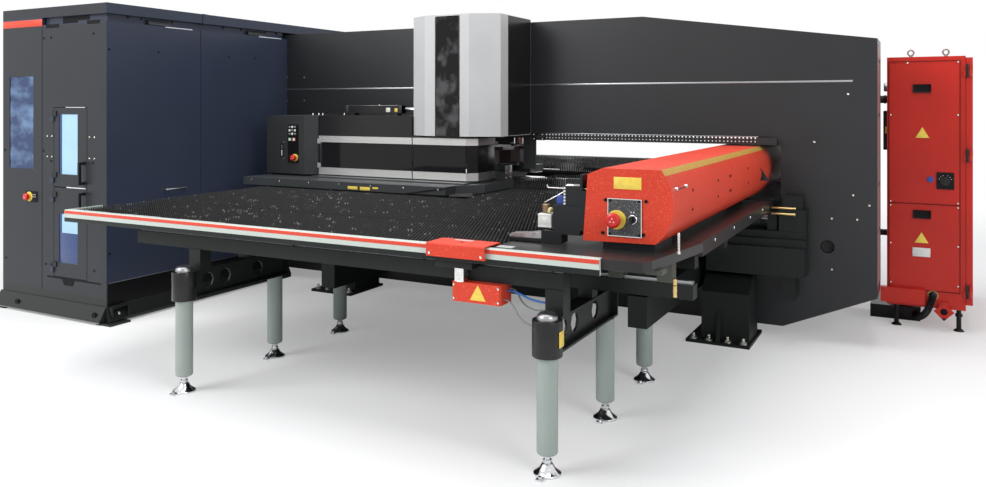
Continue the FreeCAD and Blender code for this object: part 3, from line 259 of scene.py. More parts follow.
def rough_range(add, link, noise, low, high):
    """Roughness between two values, driven by a noise."""
    spread = add("ShaderNodeMapRange")
    spread.inputs["From Min"].default_value = 0.3
    spread.inputs["From Max"].default_value = 0.7
    spread.inputs["To Min"].default_value = low
    spread.inputs["To Max"].default_value = high
    link(noise.outputs["Fac"], spread.inputs["Value"])
    return spread


def paint(name, colour, rough=0.4, grain=900.0, bump=0.08, cloud=0.10, coat=0.0, shine=0.3,
          speck=None, low=None, low_top=0.156, high=None, high_foot=1.905):
    """Powder coat with fine orange peel and soft clouds in its colour."""
    material, add, link, shader = start(name)
    clouds = noise_at(add, link, 3.0, 5.0)
    dark = [c * (1.0 - cloud) for c in colour]
    light = [min(1.0, c * (1.0 + cloud)) for c in colour]
    tint = shades(add, link, clouds, dark, light).outputs["Color"]
    if low:
        place = add("ShaderNodeTexCoord")
        axes = add("ShaderNodeSeparateXYZ")
        link(place.outputs["Object"], axes.inputs["Vector"])
        above = add("ShaderNodeMath", operation="GREATER_THAN")
        above.inputs[1].default_value = low_top
        link(axes.outputs["Z"], above.inputs[0])
        low_band = add("ShaderNodeMix", data_type="RGBA")
        link(above.outputs["Value"], low_band.inputs["Factor"])
        low_band.inputs["A"].default_value = (*low, 1.0)
        link(tint, low_band.inputs["B"])
        tint = low_band.outputs["Result"]
    if high:
        over = add("ShaderNodeMath", operation="GREATER_THAN")
        over.inputs[1].default_value = high_foot
        link(axes.outputs["Z"], over.inputs[0])
        bolts = add("ShaderNodeMix", data_type="RGBA")
        link(over.outputs["Value"], bolts.inputs["Factor"])
        link(tint, bolts.inputs["A"])
        bolts.inputs["B"].default_value = (*high, 1.0)
        tint = bolts.outputs["Result"]
    if speck:
        dots = shades(add, link, noise_at(add, link, 210.0, 2.0), (0.0, 0.0, 0.0), (1.0, 1.0, 1.0),
                      0.62, 0.72)
        mixed = add("ShaderNodeMix", data_type="RGBA")
        link(dots.outputs["Color"], mixed.inputs["Factor"])
        link(tint, mixed.inputs["A"])
        mixed.inputs["B"].default_value = (*speck, 1.0)
        tint = mixed.outputs["Result"]
    link(tint, shader.inputs["Base Color"])
    wear = noise_at(add, link, 9.0, 3.0)
    link(rough_range(add, link, wear, rough * 0.96, rough * 1.04).outputs["Result"],
         shader.inputs["Roughness"])
    peel = noise_at(add, link, grain, 2.0)
    hump = add("ShaderNodeBump", Strength=bump, Distance=0.0006)
    link(peel.outputs["Fac"], hump.inputs["Height"])
    link(hump.outputs["Normal"], shader.inputs["Normal"])
    shader.inputs["Specular IOR Level"].default_value = shine
    shader.inputs["Coat Weight"].default_value = coat
    shader.inputs["Coat Roughness"].default_value = 0.15
    return material


def metal(name, colour, rough=0.3, stretch=(1.0, 1.0, 30.0), scale=40.0, bump=0.05):
    """Bare metal whose fine scratches run one way."""
    material, add, link, shader = start(name)
    brushed = noise_at(add, link, scale, 6.0, stretch)
    dark = [c * 0.86 for c in colour]
    light = [min(1.0, c * 1.08) for c in colour]
    link(shades(add, link, brushed, dark, light).outputs["Color"], shader.inputs["Base Color"])
    link(rough_range(add, link, brushed, rough * 0.8, rough * 1.25).outputs["Result"],
         shader.inputs["Roughness"])
    hump = add("ShaderNodeBump", Strength=bump, Distance=0.0004)
    link(brushed.outputs["Fac"], hump.inputs["Height"])
    link(hump.outputs["Normal"], shader.inputs["Normal"])
    shader.inputs["Metallic"].default_value = 1.0
    return material


def plastic(name, colour, rough=0.3, bump=0.03, shine=0.5):
    """Moulded plastic with a faint grain."""
    material, add, link, shader = start(name)
    clouds = noise_at(add, link, 60.0, 3.0)
    dark = [c * 0.93 for c in colour]
    light = [min(1.0, c * 1.05) for c in colour]
    link(shades(add, link, clouds, dark, light).outputs["Color"], shader.inputs["Base Color"])
    grain = noise_at(add, link, 1500.0, 2.0)
    hump = add("ShaderNodeBump", Strength=bump, Distance=0.0003)
    link(grain.outputs["Fac"], hump.inputs["Height"])
    link(hump.outputs["Normal"], shader.inputs["Normal"])
    link(rough_range(add, link, clouds, rough * 0.9, rough * 1.1).outputs["Result"],
         shader.inputs["Roughness"])
    shader.inputs["Specular IOR Level"].default_value = shine
    return material


print("material helpers ready")


# %% [markdown]
# ### Glass
# The panes of this machine are dark safety glass. A pane is a thin solid, so the light
# that passes it is tinted a little by the glass itself, and its gloss is what shows.


# %% Helper for glass
def glass(name, colour, rough=0.04, clear=0.5):
    """Tinted pane, with faint smears in its gloss."""
    material, add, link, shader = start(name)
    smear = noise_at(add, link, 6.0, 4.0)
    dark = [c * 0.92 for c in colour]
    link(shades(add, link, smear, dark, colour).outputs["Color"], shader.inputs["Base Color"])
    link(rough_range(add, link, smear, rough * 0.6, rough * 1.6).outputs["Result"],
         shader.inputs["Roughness"])
    shader.inputs["Transmission Weight"].default_value = clear
    shader.inputs["IOR"].default_value = 1.45
    return material


print("glass helper ready")

# %% [markdown]
# ### The finishes of this machine
# Three paints carry the whole look: a charcoal powder coat on the frame, a dark blue
# coat on the tool changer and an orange red on the carriage and the electrical cabinet.
# The rest is bare or plated metal, rubber and moulded plastic.

# %% Paints
frame_paint = paint("frame_paint", (0.021, 0.022, 0.024), rough=0.34, grain=900.0, bump=0.02,
                    cloud=0.05, coat=0.04)
# Below z 0.236 the changer paint turns dark grey-green. Up to about z 0.17 that is the real colour of the
# base; the band above it is painted shade from the table.
changer_paint = paint("changer_paint", (0.034, 0.043, 0.072), rough=0.30, grain=900.0, bump=0.02,
                      cloud=0.04, coat=0.06, low=(0.018, 0.021, 0.020), low_top=0.236)
# Painted light: a greyer copy of the changer paint, for the front panels and doors, which catch more
# light.
changer_front_lit_paint = paint("changer_front", (0.023, 0.026, 0.031), rough=0.34, grain=900.0,
                            bump=0.02, cloud=0.04, coat=0.05)
red_paint = paint("red_paint", (0.66, 0.050, 0.022), rough=0.42, grain=420.0, bump=0.22, cloud=0.05,
                  speck=(0.85, 0.22, 0.12))
cabinet_paint = paint("cabinet_paint", (0.50, 0.020, 0.011), rough=0.36, grain=800.0, bump=0.03,
                      cloud=0.05, low=(0.008, 0.008, 0.009), low_top=0.098, high=(0.30, 0.29, 0.28))
silver_paint = paint("silver_cover", (0.60, 0.61, 0.61), rough=0.34, grain=900.0, bump=0.06,
                     cloud=0.04)
leg_paint = paint("leg_paint", (0.33, 0.38, 0.35), rough=0.38, grain=260.0, bump=0.16, cloud=0.05)
stand_paint = paint("stand_paint", (0.012, 0.015, 0.014), rough=0.40, grain=600.0, bump=0.08,
                    shine=0.22)
deck_paint = paint("deck_paint", (0.038, 0.042, 0.044), rough=0.40, grain=600.0, bump=0.10)
box_paint = paint("box_paint", (0.030, 0.032, 0.034), rough=0.42, grain=500.0, bump=0.06)
band_black = paint("band_black", (0.012, 0.012, 0.013), rough=0.25, grain=700.0, bump=0.03,
                   coat=0.08)
table_grey = paint("table_grey", (0.020, 0.020, 0.020), rough=0.36, grain=500.0, bump=0.10)
plate_dark = paint("plate_dark", (0.024, 0.024, 0.024), rough=0.34, grain=900.0, bump=0.10)
clamp_dark = paint("clamp_dark", (0.012, 0.013, 0.015), rough=0.36, grain=700.0, bump=0.06,
                   shine=0.25)
motor_paint = paint("motor_paint", (0.030, 0.030, 0.032), rough=0.45, grain=400.0, bump=0.15)
print("paints ready")

# %% Metals
steel = metal("steel", (0.56, 0.57, 0.58), rough=0.30)
jaw_steel = metal("jaw_steel", (0.48, 0.48, 0.49), rough=0.34, stretch=(1.0, 20.0, 1.0))
chrome_steel = metal("chrome_steel", (0.72, 0.73, 0.75), rough=0.12, stretch=(1.0, 1.0, 12.0),
                     bump=0.02)
rail_silver = metal("rail_silver", (0.36, 0.37, 0.38), rough=0.34, stretch=(1.0, 1.0, 40.0),
                    bump=0.08)
bearing_brass = metal("bearing_brass", (0.62, 0.46, 0.20), rough=0.30, stretch=(1.0, 1.0, 20.0))
zinc = metal("zinc_screws", (0.62, 0.61, 0.56), rough=0.28, stretch=(1.0, 1.0, 1.0), scale=300.0)
print("metals ready")

# %% Plastics, rubber and glass
panel_grey = plastic("panel_grey", (0.045, 0.047, 0.050), rough=0.42)
button_red = plastic("button_red", (0.62, 0.012, 0.010), rough=0.22)
button_green = plastic("button_green", (0.02, 0.30, 0.06), rough=0.25)
knob_black = plastic("knob_black", (0.010, 0.010, 0.011), rough=0.26, shine=0.3)
valve_white = plastic("valve_white", (0.74, 0.74, 0.70), rough=0.35)
label_yellow = plastic("plain_yellow_plate", (0.84, 0.62, 0.09), rough=0.40)
hose_black = plastic("hose_black", (0.008, 0.008, 0.009), rough=0.40, bump=0.10, shine=0.25)
guard_glass = glass("guard_glass", (0.012, 0.012, 0.013), rough=0.04, clear=0.0)
guard_glass.node_tree.nodes["Principled BSDF"].inputs["Specular IOR Level"].default_value = 0.25
cabinet_glass = glass("cabinet_glass", (0.42, 0.66, 0.84), rough=0.05, clear=0.0)
print("plastics and glass ready")

# %% [markdown]
# Some brush tips get a painted highlight: pale glints where the tips catch the light. Cells the size of a
# tuft pick some tips at random and make them pale.

# %% Bristles
bristle, add, link, shader = start("bristle")
place = add("ShaderNodeTexCoord")
cells = add("ShaderNodeTexVoronoi", Scale=42.0)
link(place.outputs["Object"], cells.inputs["Vector"])
# Painted highlight: these cells choose the tips that get a pale glint.
few = add("ShaderNodeValToRGB")
few.color_ramp.elements[0].position = 0.86
few.color_ramp.elements[0].color = (0.0, 0.0, 0.0, 1.0)
few.color_ramp.elements[1].position = 0.93
few.color_ramp.elements[1].color = (1.0, 1.0, 1.0, 1.0)
link(cells.outputs["Color"], few.inputs["Fac"])
axes = add("ShaderNodeSeparateXYZ")
link(place.outputs["Object"], axes.inputs["Vector"])
near_tip = add("ShaderNodeMapRange")
near_tip.inputs["From Min"].default_value = 0.905
near_tip.inputs["From Max"].default_value = 0.930
link(axes.outputs["Z"], near_tip.inputs["Value"])
glint_tips = add("ShaderNodeMath", operation="MULTIPLY")
link(few.outputs["Color"], glint_tips.inputs[0])
link(near_tip.outputs["Result"], glint_tips.inputs[1])
# Painted shade: the bristles are painted darker lower down, where the dense tufts shade each other.
shaded_shaft = add("ShaderNodeMix", data_type="RGBA")
shaded_shaft.inputs["A"].default_value = (0.004, 0.004, 0.004, 1.0)
shaded_shaft.inputs["B"].default_value = (0.020, 0.020, 0.021, 1.0)
link(near_tip.outputs["Result"], shaded_shaft.inputs["Factor"])
# Painted highlight: the chosen tips are mixed towards a pale grey glint.
painted_tip_glint = add("ShaderNodeMix", data_type="RGBA")
painted_tip_glint.inputs["B"].default_value = (0.36, 0.36, 0.35, 1.0)
link(glint_tips.outputs["Value"], painted_tip_glint.inputs["Factor"])
link(shaded_shaft.outputs["Result"], painted_tip_glint.inputs["A"])
link(painted_tip_glint.outputs["Result"], shader.inputs["Base Color"])
link(rough_range(add, link, noise_at(add, link, 90.0), 0.45, 0.65).outputs["Result"],
     shader.inputs["Roughness"])
print("bristles ready")

# %% [markdown]
# A dark pane in a hall mirrors lamps, racks and people as soft bright patches. There is
# no hall here, so layered noise in object space stands for these dim patches.

# %% Dark mirror pane of the head
black_glass, add, link, shader = start("black_glass")
patches = noise_at(add, link, 7.0, 9.0, (1.6, 1.0, 1.3))
link(shades(add, link, patches, (0.004, 0.004, 0.005), (0.085, 0.082, 0.085), 0.48,
            0.66).outputs["Color"], shader.inputs["Base Color"])
link(rough_range(add, link, patches, 0.04, 0.08).outputs["Result"], shader.inputs["Roughness"])
shader.inputs["Specular IOR Level"].default_value = 0.25
print("dark pane ready")

# %% Glass of the tool store
store_glass, add, link, shader = start("store_glass")
shapes = noise_at(add, link, 5.0, 5.0, (1.0, 1.0, 1.6))
link(shades(add, link, shapes, (0.022, 0.045, 0.130), (0.13, 0.22, 0.38), 0.42,
            0.62).outputs["Color"], shader.inputs["Base Color"])
link(rough_range(add, link, shapes, 0.04, 0.10).outputs["Result"], shader.inputs["Roughness"])
shader.inputs["IOR"].default_value = 1.45
print("store glass ready")

# %% Finishes of small things
band_red = plastic("band_red", (0.70, 0.060, 0.025), rough=0.40)
band_silver = paint("band_silver", (0.55, 0.61, 0.56), rough=0.30, grain=900.0, bump=0.02,
                    cloud=0.02)
profile_silver = metal("profile_silver", (0.56, 0.56, 0.55), rough=0.38, stretch=(1.0, 1.0, 40.0),
                       bump=0.06)
turret_dark = metal("turret_dark", (0.17, 0.165, 0.165), rough=0.36, stretch=(1.0, 1.0, 30.0))
pale_cover = plastic("pale_cover", (0.52, 0.54, 0.54), rough=0.30)
slit_white = plastic("slit_white", (0.72, 0.76, 0.80), rough=0.35)
gap_black = plastic("gap_black", (0.005, 0.005, 0.006), rough=0.45, shine=0.12)
panel_black = plastic("panel_black", (0.006, 0.006, 0.007), rough=0.35, shine=0.15)
lens_grey = plastic("lens_grey", (0.20, 0.21, 0.22), rough=0.20)
shade_blue = plastic("shade_blue", (0.040, 0.070, 0.190), rough=0.20)
store_blue = plastic("store_blue", (0.30, 0.42, 0.58), rough=0.55)
store_dark = plastic("store_dark", (0.030, 0.045, 0.070), rough=0.55)
button_blue = plastic("button_blue", (0.02, 0.06, 0.30), rough=0.30)
cable_blue = plastic("cable_blue", (0.02, 0.13, 0.42), rough=0.40)
cable_grey = plastic("cable_grey", (0.20, 0.22, 0.20), rough=0.45)
bright_sheet = metal("bright_sheet", (0.78, 0.78, 0.76), rough=0.22, stretch=(20.0, 1.0, 1.0),
                     bump=0.02)
block_grey = paint("block_grey", (0.075, 0.080, 0.064), rough=0.40, grain=700.0, bump=0.03)
valve_cream = plastic("valve_cream", (0.66, 0.58, 0.30), rough=0.30)
end_primer = plastic("end_primer", (0.24, 0.15, 0.14), rough=0.45)
clamp_brown = metal("clamp_brown", (0.26, 0.17, 0.11), rough=0.38, stretch=(1.0, 1.0, 1.0),
                    scale=120.0)
print("small finishes ready")

# %% [markdown]
# ### Dressing the solids
# Each solid of the CAD model keeps its shape. It only gets its finish here.


# %% Materials of the solids
def dress(material, *names):
    """Put one material on all slots of some CAD solids."""
    for name in names:
        for slot in nodes[name].material_slots:
            slot.material = material


dress(frame_paint, "bridge_frame")
dress(stand_paint, "frame_feet", "table_stand", "drive_unit")
dress(steel, "punches", "dies", "ballscrew")
dress(turret_dark, "upper_turret", "lower_turret")
dress(rail_silver, "guide_rails")
dress(block_grey, "rail_blocks")
dress(zinc, "anchor_bolts", "locator_pin")
dress(silver_paint, "head_cover")
dress(black_glass, "head_window")
dress(motor_paint, "servo_motor")
dress(chrome_steel, "ram", "leg_feet")
dress(turret_dark, "jaw_bearings")
dress(profile_silver, "guard_door", "guard_fixed_frame")
dress(guard_glass, "guard_door_window", "guard_window")
dress(band_black, "guard_upper_band")
dress(deck_paint, "turret_deck")
dress(box_paint, "control_box")
dress(panel_grey, "control_panel")
dress(button_green, "control_start_button")
dress(button_red, "control_stop_button", "control_estop", "carriage_estop", "changer_estop")
dress(table_grey, "fixed_tables", "moving_strips")
dress(bristle, "fixed_brushes", "strip_brushes")
dress(band_silver, "edge_bumpers")
dress(leg_paint, "table_legs")
dress(clamp_dark, "carriage_beam", "saddle", "clamp_bodies")
dress(red_paint, "carriage_cover", "sheet_locator", "junction_box")
dress(plate_dark, "carriage_switch_plate")
dress(knob_black, "selector_knob", "main_switch")
dress(jaw_steel, "clamp_jaws")
dress(valve_white, "clamp_valve")
dress(changer_paint, "changer_cabinet")
dress(changer_front_lit_paint, "changer_upper_door", "changer_lower_door")
dress(cabinet_glass, "upper_door_window", "lower_door_window")
dress(store_glass, "changer_front_window")
dress(cabinet_paint, "electrical_cabinet", "cabinet_side_door", "cabinet_panels")
dress(hose_black, "cabinet_hoses")
print("dressed solids:", len(nodes))

# %% [markdown]
# ## Floor, world and lamps
# The photograph shows the machine on a white floor in front of nothing. The floor is a
# pale round sheet that fades out towards its rim, so that it takes the soft shadow and
# then ends in the white of the world. The world is white only where the camera, a
# mirror or a pane looks at it, and gives a much weaker light to everything else.

# %% Floor
deselect()
bpy.ops.mesh.primitive_circle_add(vertices=96, radius=11.0, fill_type="NGON",
                                  location=(0.4, 0.0, 0.0))
floor = settle("floor")
floor_material, add, link, shader = start("pale_floor")
shader.inputs["Base Color"].default_value = (0.90, 0.90, 0.90, 1.0)
shader.inputs["Roughness"].default_value = 0.9
shader.inputs["Specular IOR Level"].default_value = 0.1
spread = add("ShaderNodeTexCoord")
length = add("ShaderNodeVectorMath", operation="LENGTH")
link(spread.outputs["Object"], length.inputs[0])
fade = add("ShaderNodeMapRange", interpolation_type="SMOOTHSTEP")
fade.inputs["From Min"].default_value = 3.2
fade.inputs["From Max"].default_value = 9.0
link(length.outputs["Value"], fade.inputs["Value"])
empty = add("ShaderNodeBsdfTransparent")
blend = add("ShaderNodeMixShader")
link(fade.outputs["Result"], blend.inputs[0])
link(shader.outputs["BSDF"], blend.inputs[1])
link(empty.outputs["BSDF"], blend.inputs[2])
glow = add("ShaderNodeEmission", Strength=1.0)
seen_floor = add("ShaderNodeLightPath")
share = add("ShaderNodeMath", operation="MULTIPLY")
share.inputs[1].default_value = 0.30
link(seen_floor.outputs["Is Camera Ray"], share.inputs[0])
lifted = add("ShaderNodeMixShader")
link(share.outputs["Value"], lifted.inputs[0])
link(blend.outputs["Shader"], lifted.inputs[1])
link(glow.outputs["Emission"], lifted.inputs[2])
output = floor_material.node_tree.nodes["Material Output"]
link(lifted.outputs["Shader"], output.inputs["Surface"])
floor.data.materials.append(floor_material)
print("floor radius", 11.0)

# %% World
world = bpy.data.worlds.new("studio")
bpy.context.scene.world = world
world.use_nodes = True
tree = world.node_tree
soft = tree.nodes["Background"]
soft.inputs["Color"].default_value = (0.92, 0.95, 1.0, 1.0)
soft.inputs["Strength"].default_value = 0.42
white = tree.nodes.new("ShaderNodeBackground")
white.inputs["Color"].default_value = (1.0, 1.0, 1.0, 1.0)
white.inputs["Strength"].default_value = 1.0
rays = tree.nodes.new("ShaderNodeLightPath")
seen = tree.nodes.new("ShaderNodeMath")
seen.operation = "MAXIMUM"
tree.links.new(rays.outputs["Is Camera Ray"], seen.inputs[0])
tree.links.new(rays.outputs["Is Glossy Ray"], seen.inputs[1])
also = tree.nodes.new("ShaderNodeMath")
also.operation = "MAXIMUM"
tree.links.new(seen.outputs["Value"], also.inputs[0])
tree.links.new(rays.outputs["Is Transmission Ray"], also.inputs[1])
either = tree.nodes.new("ShaderNodeMixShader")
tree.links.new(also.outputs["Value"], either.inputs[0])
tree.links.new(soft.outputs["Background"], either.inputs[1])
tree.links.new(white.outputs["Background"], either.inputs[2])
tree.links.new(either.outputs["Shader"], tree.nodes["World Output"].inputs["Surface"])
print("world ready")


# %% Lamps
def lamp(name, place, target, size, power):
    """Square area lamp that looks at a point."""
    data = bpy.data.lights.new(name, "AREA")
    data.size = size
    data.energy = power
    light = bpy.data.objects.new(name, data)
    light.location = place
    way = Vector(target) - Vector(place)
    light.rotation_euler = way.to_track_quat("-Z", "Y").to_euler()
    bpy.context.scene.collection.objects.link(light)
    return light


lamp("key", (-4.5, -8.5, 6.0), (0.0, -1.0, 1.0), 5.0, 600.0)
lamp("fill", (8.0, -6.0, 4.5), (1.5, -0.5, 1.0), 4.0, 230.0)
lamp("top", (0.5, -1.0, 7.5), (0.5, -1.0, 0.0), 7.0, 520.0)
print("lamps ready")

# %% [markdown]
# ## Helpers for small things
# Screws, bolts and plates come back all over the machine. Each kind is shaped once, with
# its sunk drive or its rounded edge, and then copied to its places.

# %% Directions that small things face
FACING = {"x": Vector((1.0, 0.0, 0.0)), "y": Vector((0.0, -1.0, 0.0)), "z": Vector((0.0, 0.0, 1.0))}


# %% Helper for screws
def screws(name, places, facing="y", radius=0.006, height=0.003, body="machine", material=None):
    """Round screw heads with a sunk drive; they face +X, -Y or +Z."""
    head = disc("head", (0.0, 0.0, 0.0), radius, 2.0 * height, facing, 16)
    outward = FACING[facing]
    sink(head, lambda face: face.normal.dot(outward) > 0.9, radius * 0.5, height * 0.5)
    return finish_piece(row_of(head, name, places), body, material or zinc)


# %% Helper for plates
def plate(name, low, high, material, body="machine", edge=0.0006):
    """Thin plate or strip with soft edges."""
    return finish_piece(soften(block(name, low, high), edge), body, material)


SKIN = 0.0012   # thickness of a plate laid on a face
SEAT = 0.0005   # how far such a plate reaches into the face


def on_front(name, x0, x1, z0, z1, y, material, body="machine", thick=SKIN):
    """Plate on a face that looks to -Y; y is that face."""
    return plate(name, (x0, y - thick, z0), (x1, y + SEAT, z1), material, body,
                 min(SEAT, thick * 0.4))


def on_side(name, y0, y1, z0, z1, x, material, thick=SKIN):
    """Plate on a face that looks to +X; x is that face."""
    return plate(name, (x - SEAT, y0, z0), (x + thick, y1, z1), material, "machine",
                 min(SEAT, thick * 0.4))


print("small helpers ready")

# %% [markdown]
# ## The cables under the front beam
# Three cables leave the junction box and hang to the corner post. Each is a fixed length
# of something flexible, so each is one smooth curve through its own points.


# %% Cables
def cable(name, points, radius, material):
    """Round cable along a smooth curve."""
    data = bpy.data.curves.new(name, "CURVE")
    data.dimensions = "3D"
    spline = data.splines.new("NURBS")
    spline.points.add(len(points) - 1)
    for point, place in zip(spline.points, points):
        point.co = (*place, 1.0)
    spline.order_u = 3
    spline.use_endpoint_u = True
    spline.resolution_u = 10
    data.bevel_depth = radius
    data.bevel_resolution = 4
    data.use_fill_caps = True
    piece = bpy.data.objects.new(name, data)
    bpy.context.scene.collection.objects.link(piece)
    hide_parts("stand_cables")
    return finish_piece(piece, "machine", material)


blue_way = [(1.4045, -3.080, 0.735), (1.450, -3.080, 0.735), (1.530, -3.080, 0.700),
            (1.5995, -3.080, 0.700)]
grey_way = [(1.4045, -3.110, 0.700), (1.440, -3.110, 0.700), (1.520, -3.172, 0.620),
            (1.5774, -3.172, 0.620)]
sag_way = [(1.4045, -3.058, 0.742), (1.440, -3.058, 0.742), (1.470, -3.058, 0.672),
           (1.555, -3.058, 0.650), (1.5995, -3.058, 0.668)]
cable("upper_cable", blue_way, 0.005, cable_blue)
cable("lower_cable", grey_way, 0.004, cable_grey)
cable("middle_cable", sag_way, 0.0035, cable_grey)

# %% [markdown]
# ## The brush table
# The sheet glides over thousands of stiff bristle tufts. From a step away they read as
# fine dark rows with a sparkle, so every tuft is there, but it only has four sides. One
# tuft is shaped, an array repeats it along X and a second one along Y, and every other
# row is moved by half a step, as the tufts of a real brush are.

# %% Size of a tuft
board_top = 0.888
tip = 0.930
step_x = 0.020
step_y = 0.024
tuft_foot = 0.0062
tuft_tip = 0.0048
print("tufts in a square metre:", round(1.0 / (step_x * step_y)))


# %% Fields of tufts
def repeat(piece, count, offset):
    """Array of a piece along one offset, applied."""
    array = piece.modifiers.new("array", "ARRAY")
    array.count = count
    array.use_relative_offset = False
    array.use_constant_offset = True
    array.constant_offset_displace = offset
    activate(piece)
    bpy.ops.object.modifier_apply(modifier="array")


def tuft_field(name, x0, x1, y0, y1):
    """Field of bristle tufts between two corners."""
    start_x = x0 + tuft_foot
    start_y = y0 + tuft_foot
    middle_z = (board_top + tip) / 2.0
    tuft = disc(name, (start_x, start_y, middle_z), tuft_foot, tip - board_top, "z", 4, tuft_tip)
    pick_faces(tuft, lambda face: face.normal.z < -0.5)
    bpy.ops.mesh.delete(type="FACE")
    bpy.ops.object.mode_set(mode="OBJECT")
    twin = copied(tuft, "twin", (step_x / 2.0, step_y, 0.0))
    tuft = joined(name, [tuft, twin])
    repeat(tuft, int((x1 - x0 - 1.5 * step_x) / step_x) + 1, (step_x, 0.0, 0.0))
    repeat(tuft, int((y1 - y0) / (2.0 * step_y)), (0.0, 2.0 * step_y, 0.0))
    return tuft


def both_ends(name, x0, x1, y0, y1):
    """The same field at the front and at the back of the machine."""
    return joined(name, [tuft_field(name, x0, x1, y0, y1),
                         tuft_field(name + "_back", x0, x1, -y1, -y0)])


# %% Tufts of the fixed table
brush_x1 = 1.346
outer_field = both_ends("outer_tufts", -1.552, brush_x1, -2.550, -1.468)
inner_field = both_ends("inner_tufts", 0.262, brush_x1, -1.460, -0.712)
centre_field = tuft_field("centre_tufts", 0.060, brush_x1, -0.606, 0.606)
for field in (outer_field, inner_field, centre_field):
    finish_piece(field, "machine", bristle)
    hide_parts("fixed_brushes")
    print(field.name, "faces", len(field.data.polygons))

# %% Tufts of the moving strips
strip_field = both_ends("strip_tufts", -1.524, brush_x1, -3.146, -2.568)
finish_piece(strip_field, "carriage", bristle)
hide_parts("strip_brushes")
print(strip_field.name, "faces", len(strip_field.data.polygons))

# %% [markdown]
# ## The edge of the table
# The bumper is an aluminium profile with a red band pressed into its face. The band
# stands a hair proud of the profile, with rounded edges, so it catches its own light.

# %% Red band of the edge
bumper_low, bumper_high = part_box("edge_bumpers")
band_z0 = 0.9105
band_z1 = 0.9285
bands = []
for sign in (-1.0, 1.0):
    face_y = sign * bumper_high[1]
    low_y = min(face_y - sign * 0.003, face_y + sign * 0.0008)
    high_y = max(face_y - sign * 0.003, face_y + sign * 0.0008)
    bands.append(block("band", (bumper_low[0] + 0.002, low_y, band_z0),
                       (bumper_high[0] - 0.001, high_y, band_z1)))
edge_band = soften(joined("edge_band", bands), 0.0007)
finish_piece(edge_band, "carriage", band_red)
print("band length", round(bumper_high[0] - bumper_low[0], 3))

# %% Dark lip under the profile
lips = []
for sign in (-1.0, 1.0):
    face_y = sign * bumper_high[1]
    low_y = min(face_y - sign * 0.004, face_y + sign * 0.0006)
    high_y = max(face_y - sign * 0.004, face_y + sign * 0.0006)
    lips.append(block("lip", (bumper_low[0] + 0.001, low_y, 0.8622),
                      (bumper_high[0] + 0.0006, high_y, 0.8870)))
finish_piece(soften(joined("edge_lip", lips), 0.0006), "carriage", stand_paint)
print("lip height", round(0.8870 - 0.8622, 4))

# %% Clear covers on the edge of the strip
covers = []
for x0, x1 in ((-1.500, -1.200), (-1.057, -0.762), (-0.606, -0.263)):
    cover = block("cover", (x0, -3.160, 0.9302), (x1, -3.132, 0.9316))
    covers.append(soften(cover, 0.0004, 1))
covers.append(soften(block("cover", (1.362, -3.112, 0.9301), (1.440, -3.062, 0.9316)), 0.0004, 1))
edge_covers = joined("edge_covers", covers)
finish_piece(edge_covers, "carriage", pale_cover)
print("edge covers", len(covers))

# %% [markdown]
# ## Legs and levelling feet
# A round steel tube stands on a cast bell foot. The tube is turned smooth, with a soft
# lower edge. The bell starts as a low disc; its top face is inset and raised again and
# again, which gives the concave flank of the casting. A nut locks the spindle.


# %% Helper that raises a face in steps
def raise_rings(piece, steps):
    """Inset the top face again and again; a step is how far in and how far up."""
    top = max(vertex.co.z for vertex in piece.data.vertices)
    pick_faces(piece, lambda face: face.calc_center_median().z > top - 0.0001)
    for inward, upward in steps:
        bpy.ops.mesh.inset(thickness=inward, depth=upward)
    bpy.ops.object.mode_set(mode="OBJECT")
    return piece


# %% Legs
leg_xs = (-0.530, 1.642)
row_ys = (-3.172, -2.464, -1.820)
leg_tops = (0.4998, 0.4998, 0.3248)
leg_r = 0.046
tubes = []
for x in leg_xs:
    for y, top in zip(row_ys, leg_tops):
        tube = disc("tube", (x, y, (0.085 + top) / 2.0), leg_r, top - 0.085, "z", 40)
        pick_faces(tube, lambda face: face.normal.z < -0.5)
        bpy.ops.mesh.bevel(offset=0.012, segments=4, affect="EDGES")
        bpy.ops.object.mode_set(mode="OBJECT")
        tubes += [tube, copied(tube, "tube_back", (0.0, -2.0 * y, 0.0))]
domes = []
for x in leg_xs:
    dome = raise_rings(disc("dome", (x, row_ys[0], 0.6602), leg_r, 0.010, "z", 40),
                       ((0.003, 0.009), (0.010, 0.009)))
    domes += [dome, copied(dome, "dome_back", (0.0, -2.0 * row_ys[0], 0.0))]
leg_caps = joined("leg_caps", domes)
bpy.ops.object.shade_smooth_by_angle(angle=math.radians(50.0))
finish_piece(leg_caps, "machine", rail_silver)
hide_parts("table_legs")
smooth_legs = joined("smooth_legs", tubes)
bpy.ops.object.shade_smooth_by_angle(angle=math.radians(40.0))
finish_piece(smooth_legs, "machine", leg_paint)
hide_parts("table_legs")
print("legs", len(tubes))

# %% Levelling feet
base_ring = raise_rings(
    disc("bell", (0.0, 0.0, 0.0035), 0.060, 0.007, "z", 40),
    ((0.004, 0.003), (0.012, 0.008), (0.012, 0.012), (0.008, 0.014), (0.006, 0.004)))
soften(base_ring, 0.0012)
lock_nut = soften(disc("nut", (0.0, 0.0, 0.0555), 0.021, 0.014, "z", 6), 0.0016)
upper_nut = soften(disc("nut", (0.0, 0.0, 0.0790), 0.021, 0.012, "z", 6), 0.0016)
spindle = disc("spindle", (0.0, 0.0, 0.066), 0.012, 0.038, "z", 20)
lug = soften(block("lug", (-0.016, -0.090, 0.0), (0.016, -0.052, 0.009)), 0.002)
lug_bolt = soften(disc("bolt", (0.0, -0.074, 0.013), 0.010, 0.008, "z", 6), 0.001)
one_foot = joined("one_foot", [base_ring, lock_nut, upper_nut, spindle, lug, lug_bolt])
places = [(x, y, 0.0) for x in leg_xs for y in row_ys]
front_feet = row_of(copied(one_foot, "foot", (0.0, 0.0, 0.0)), "front_feet", places)
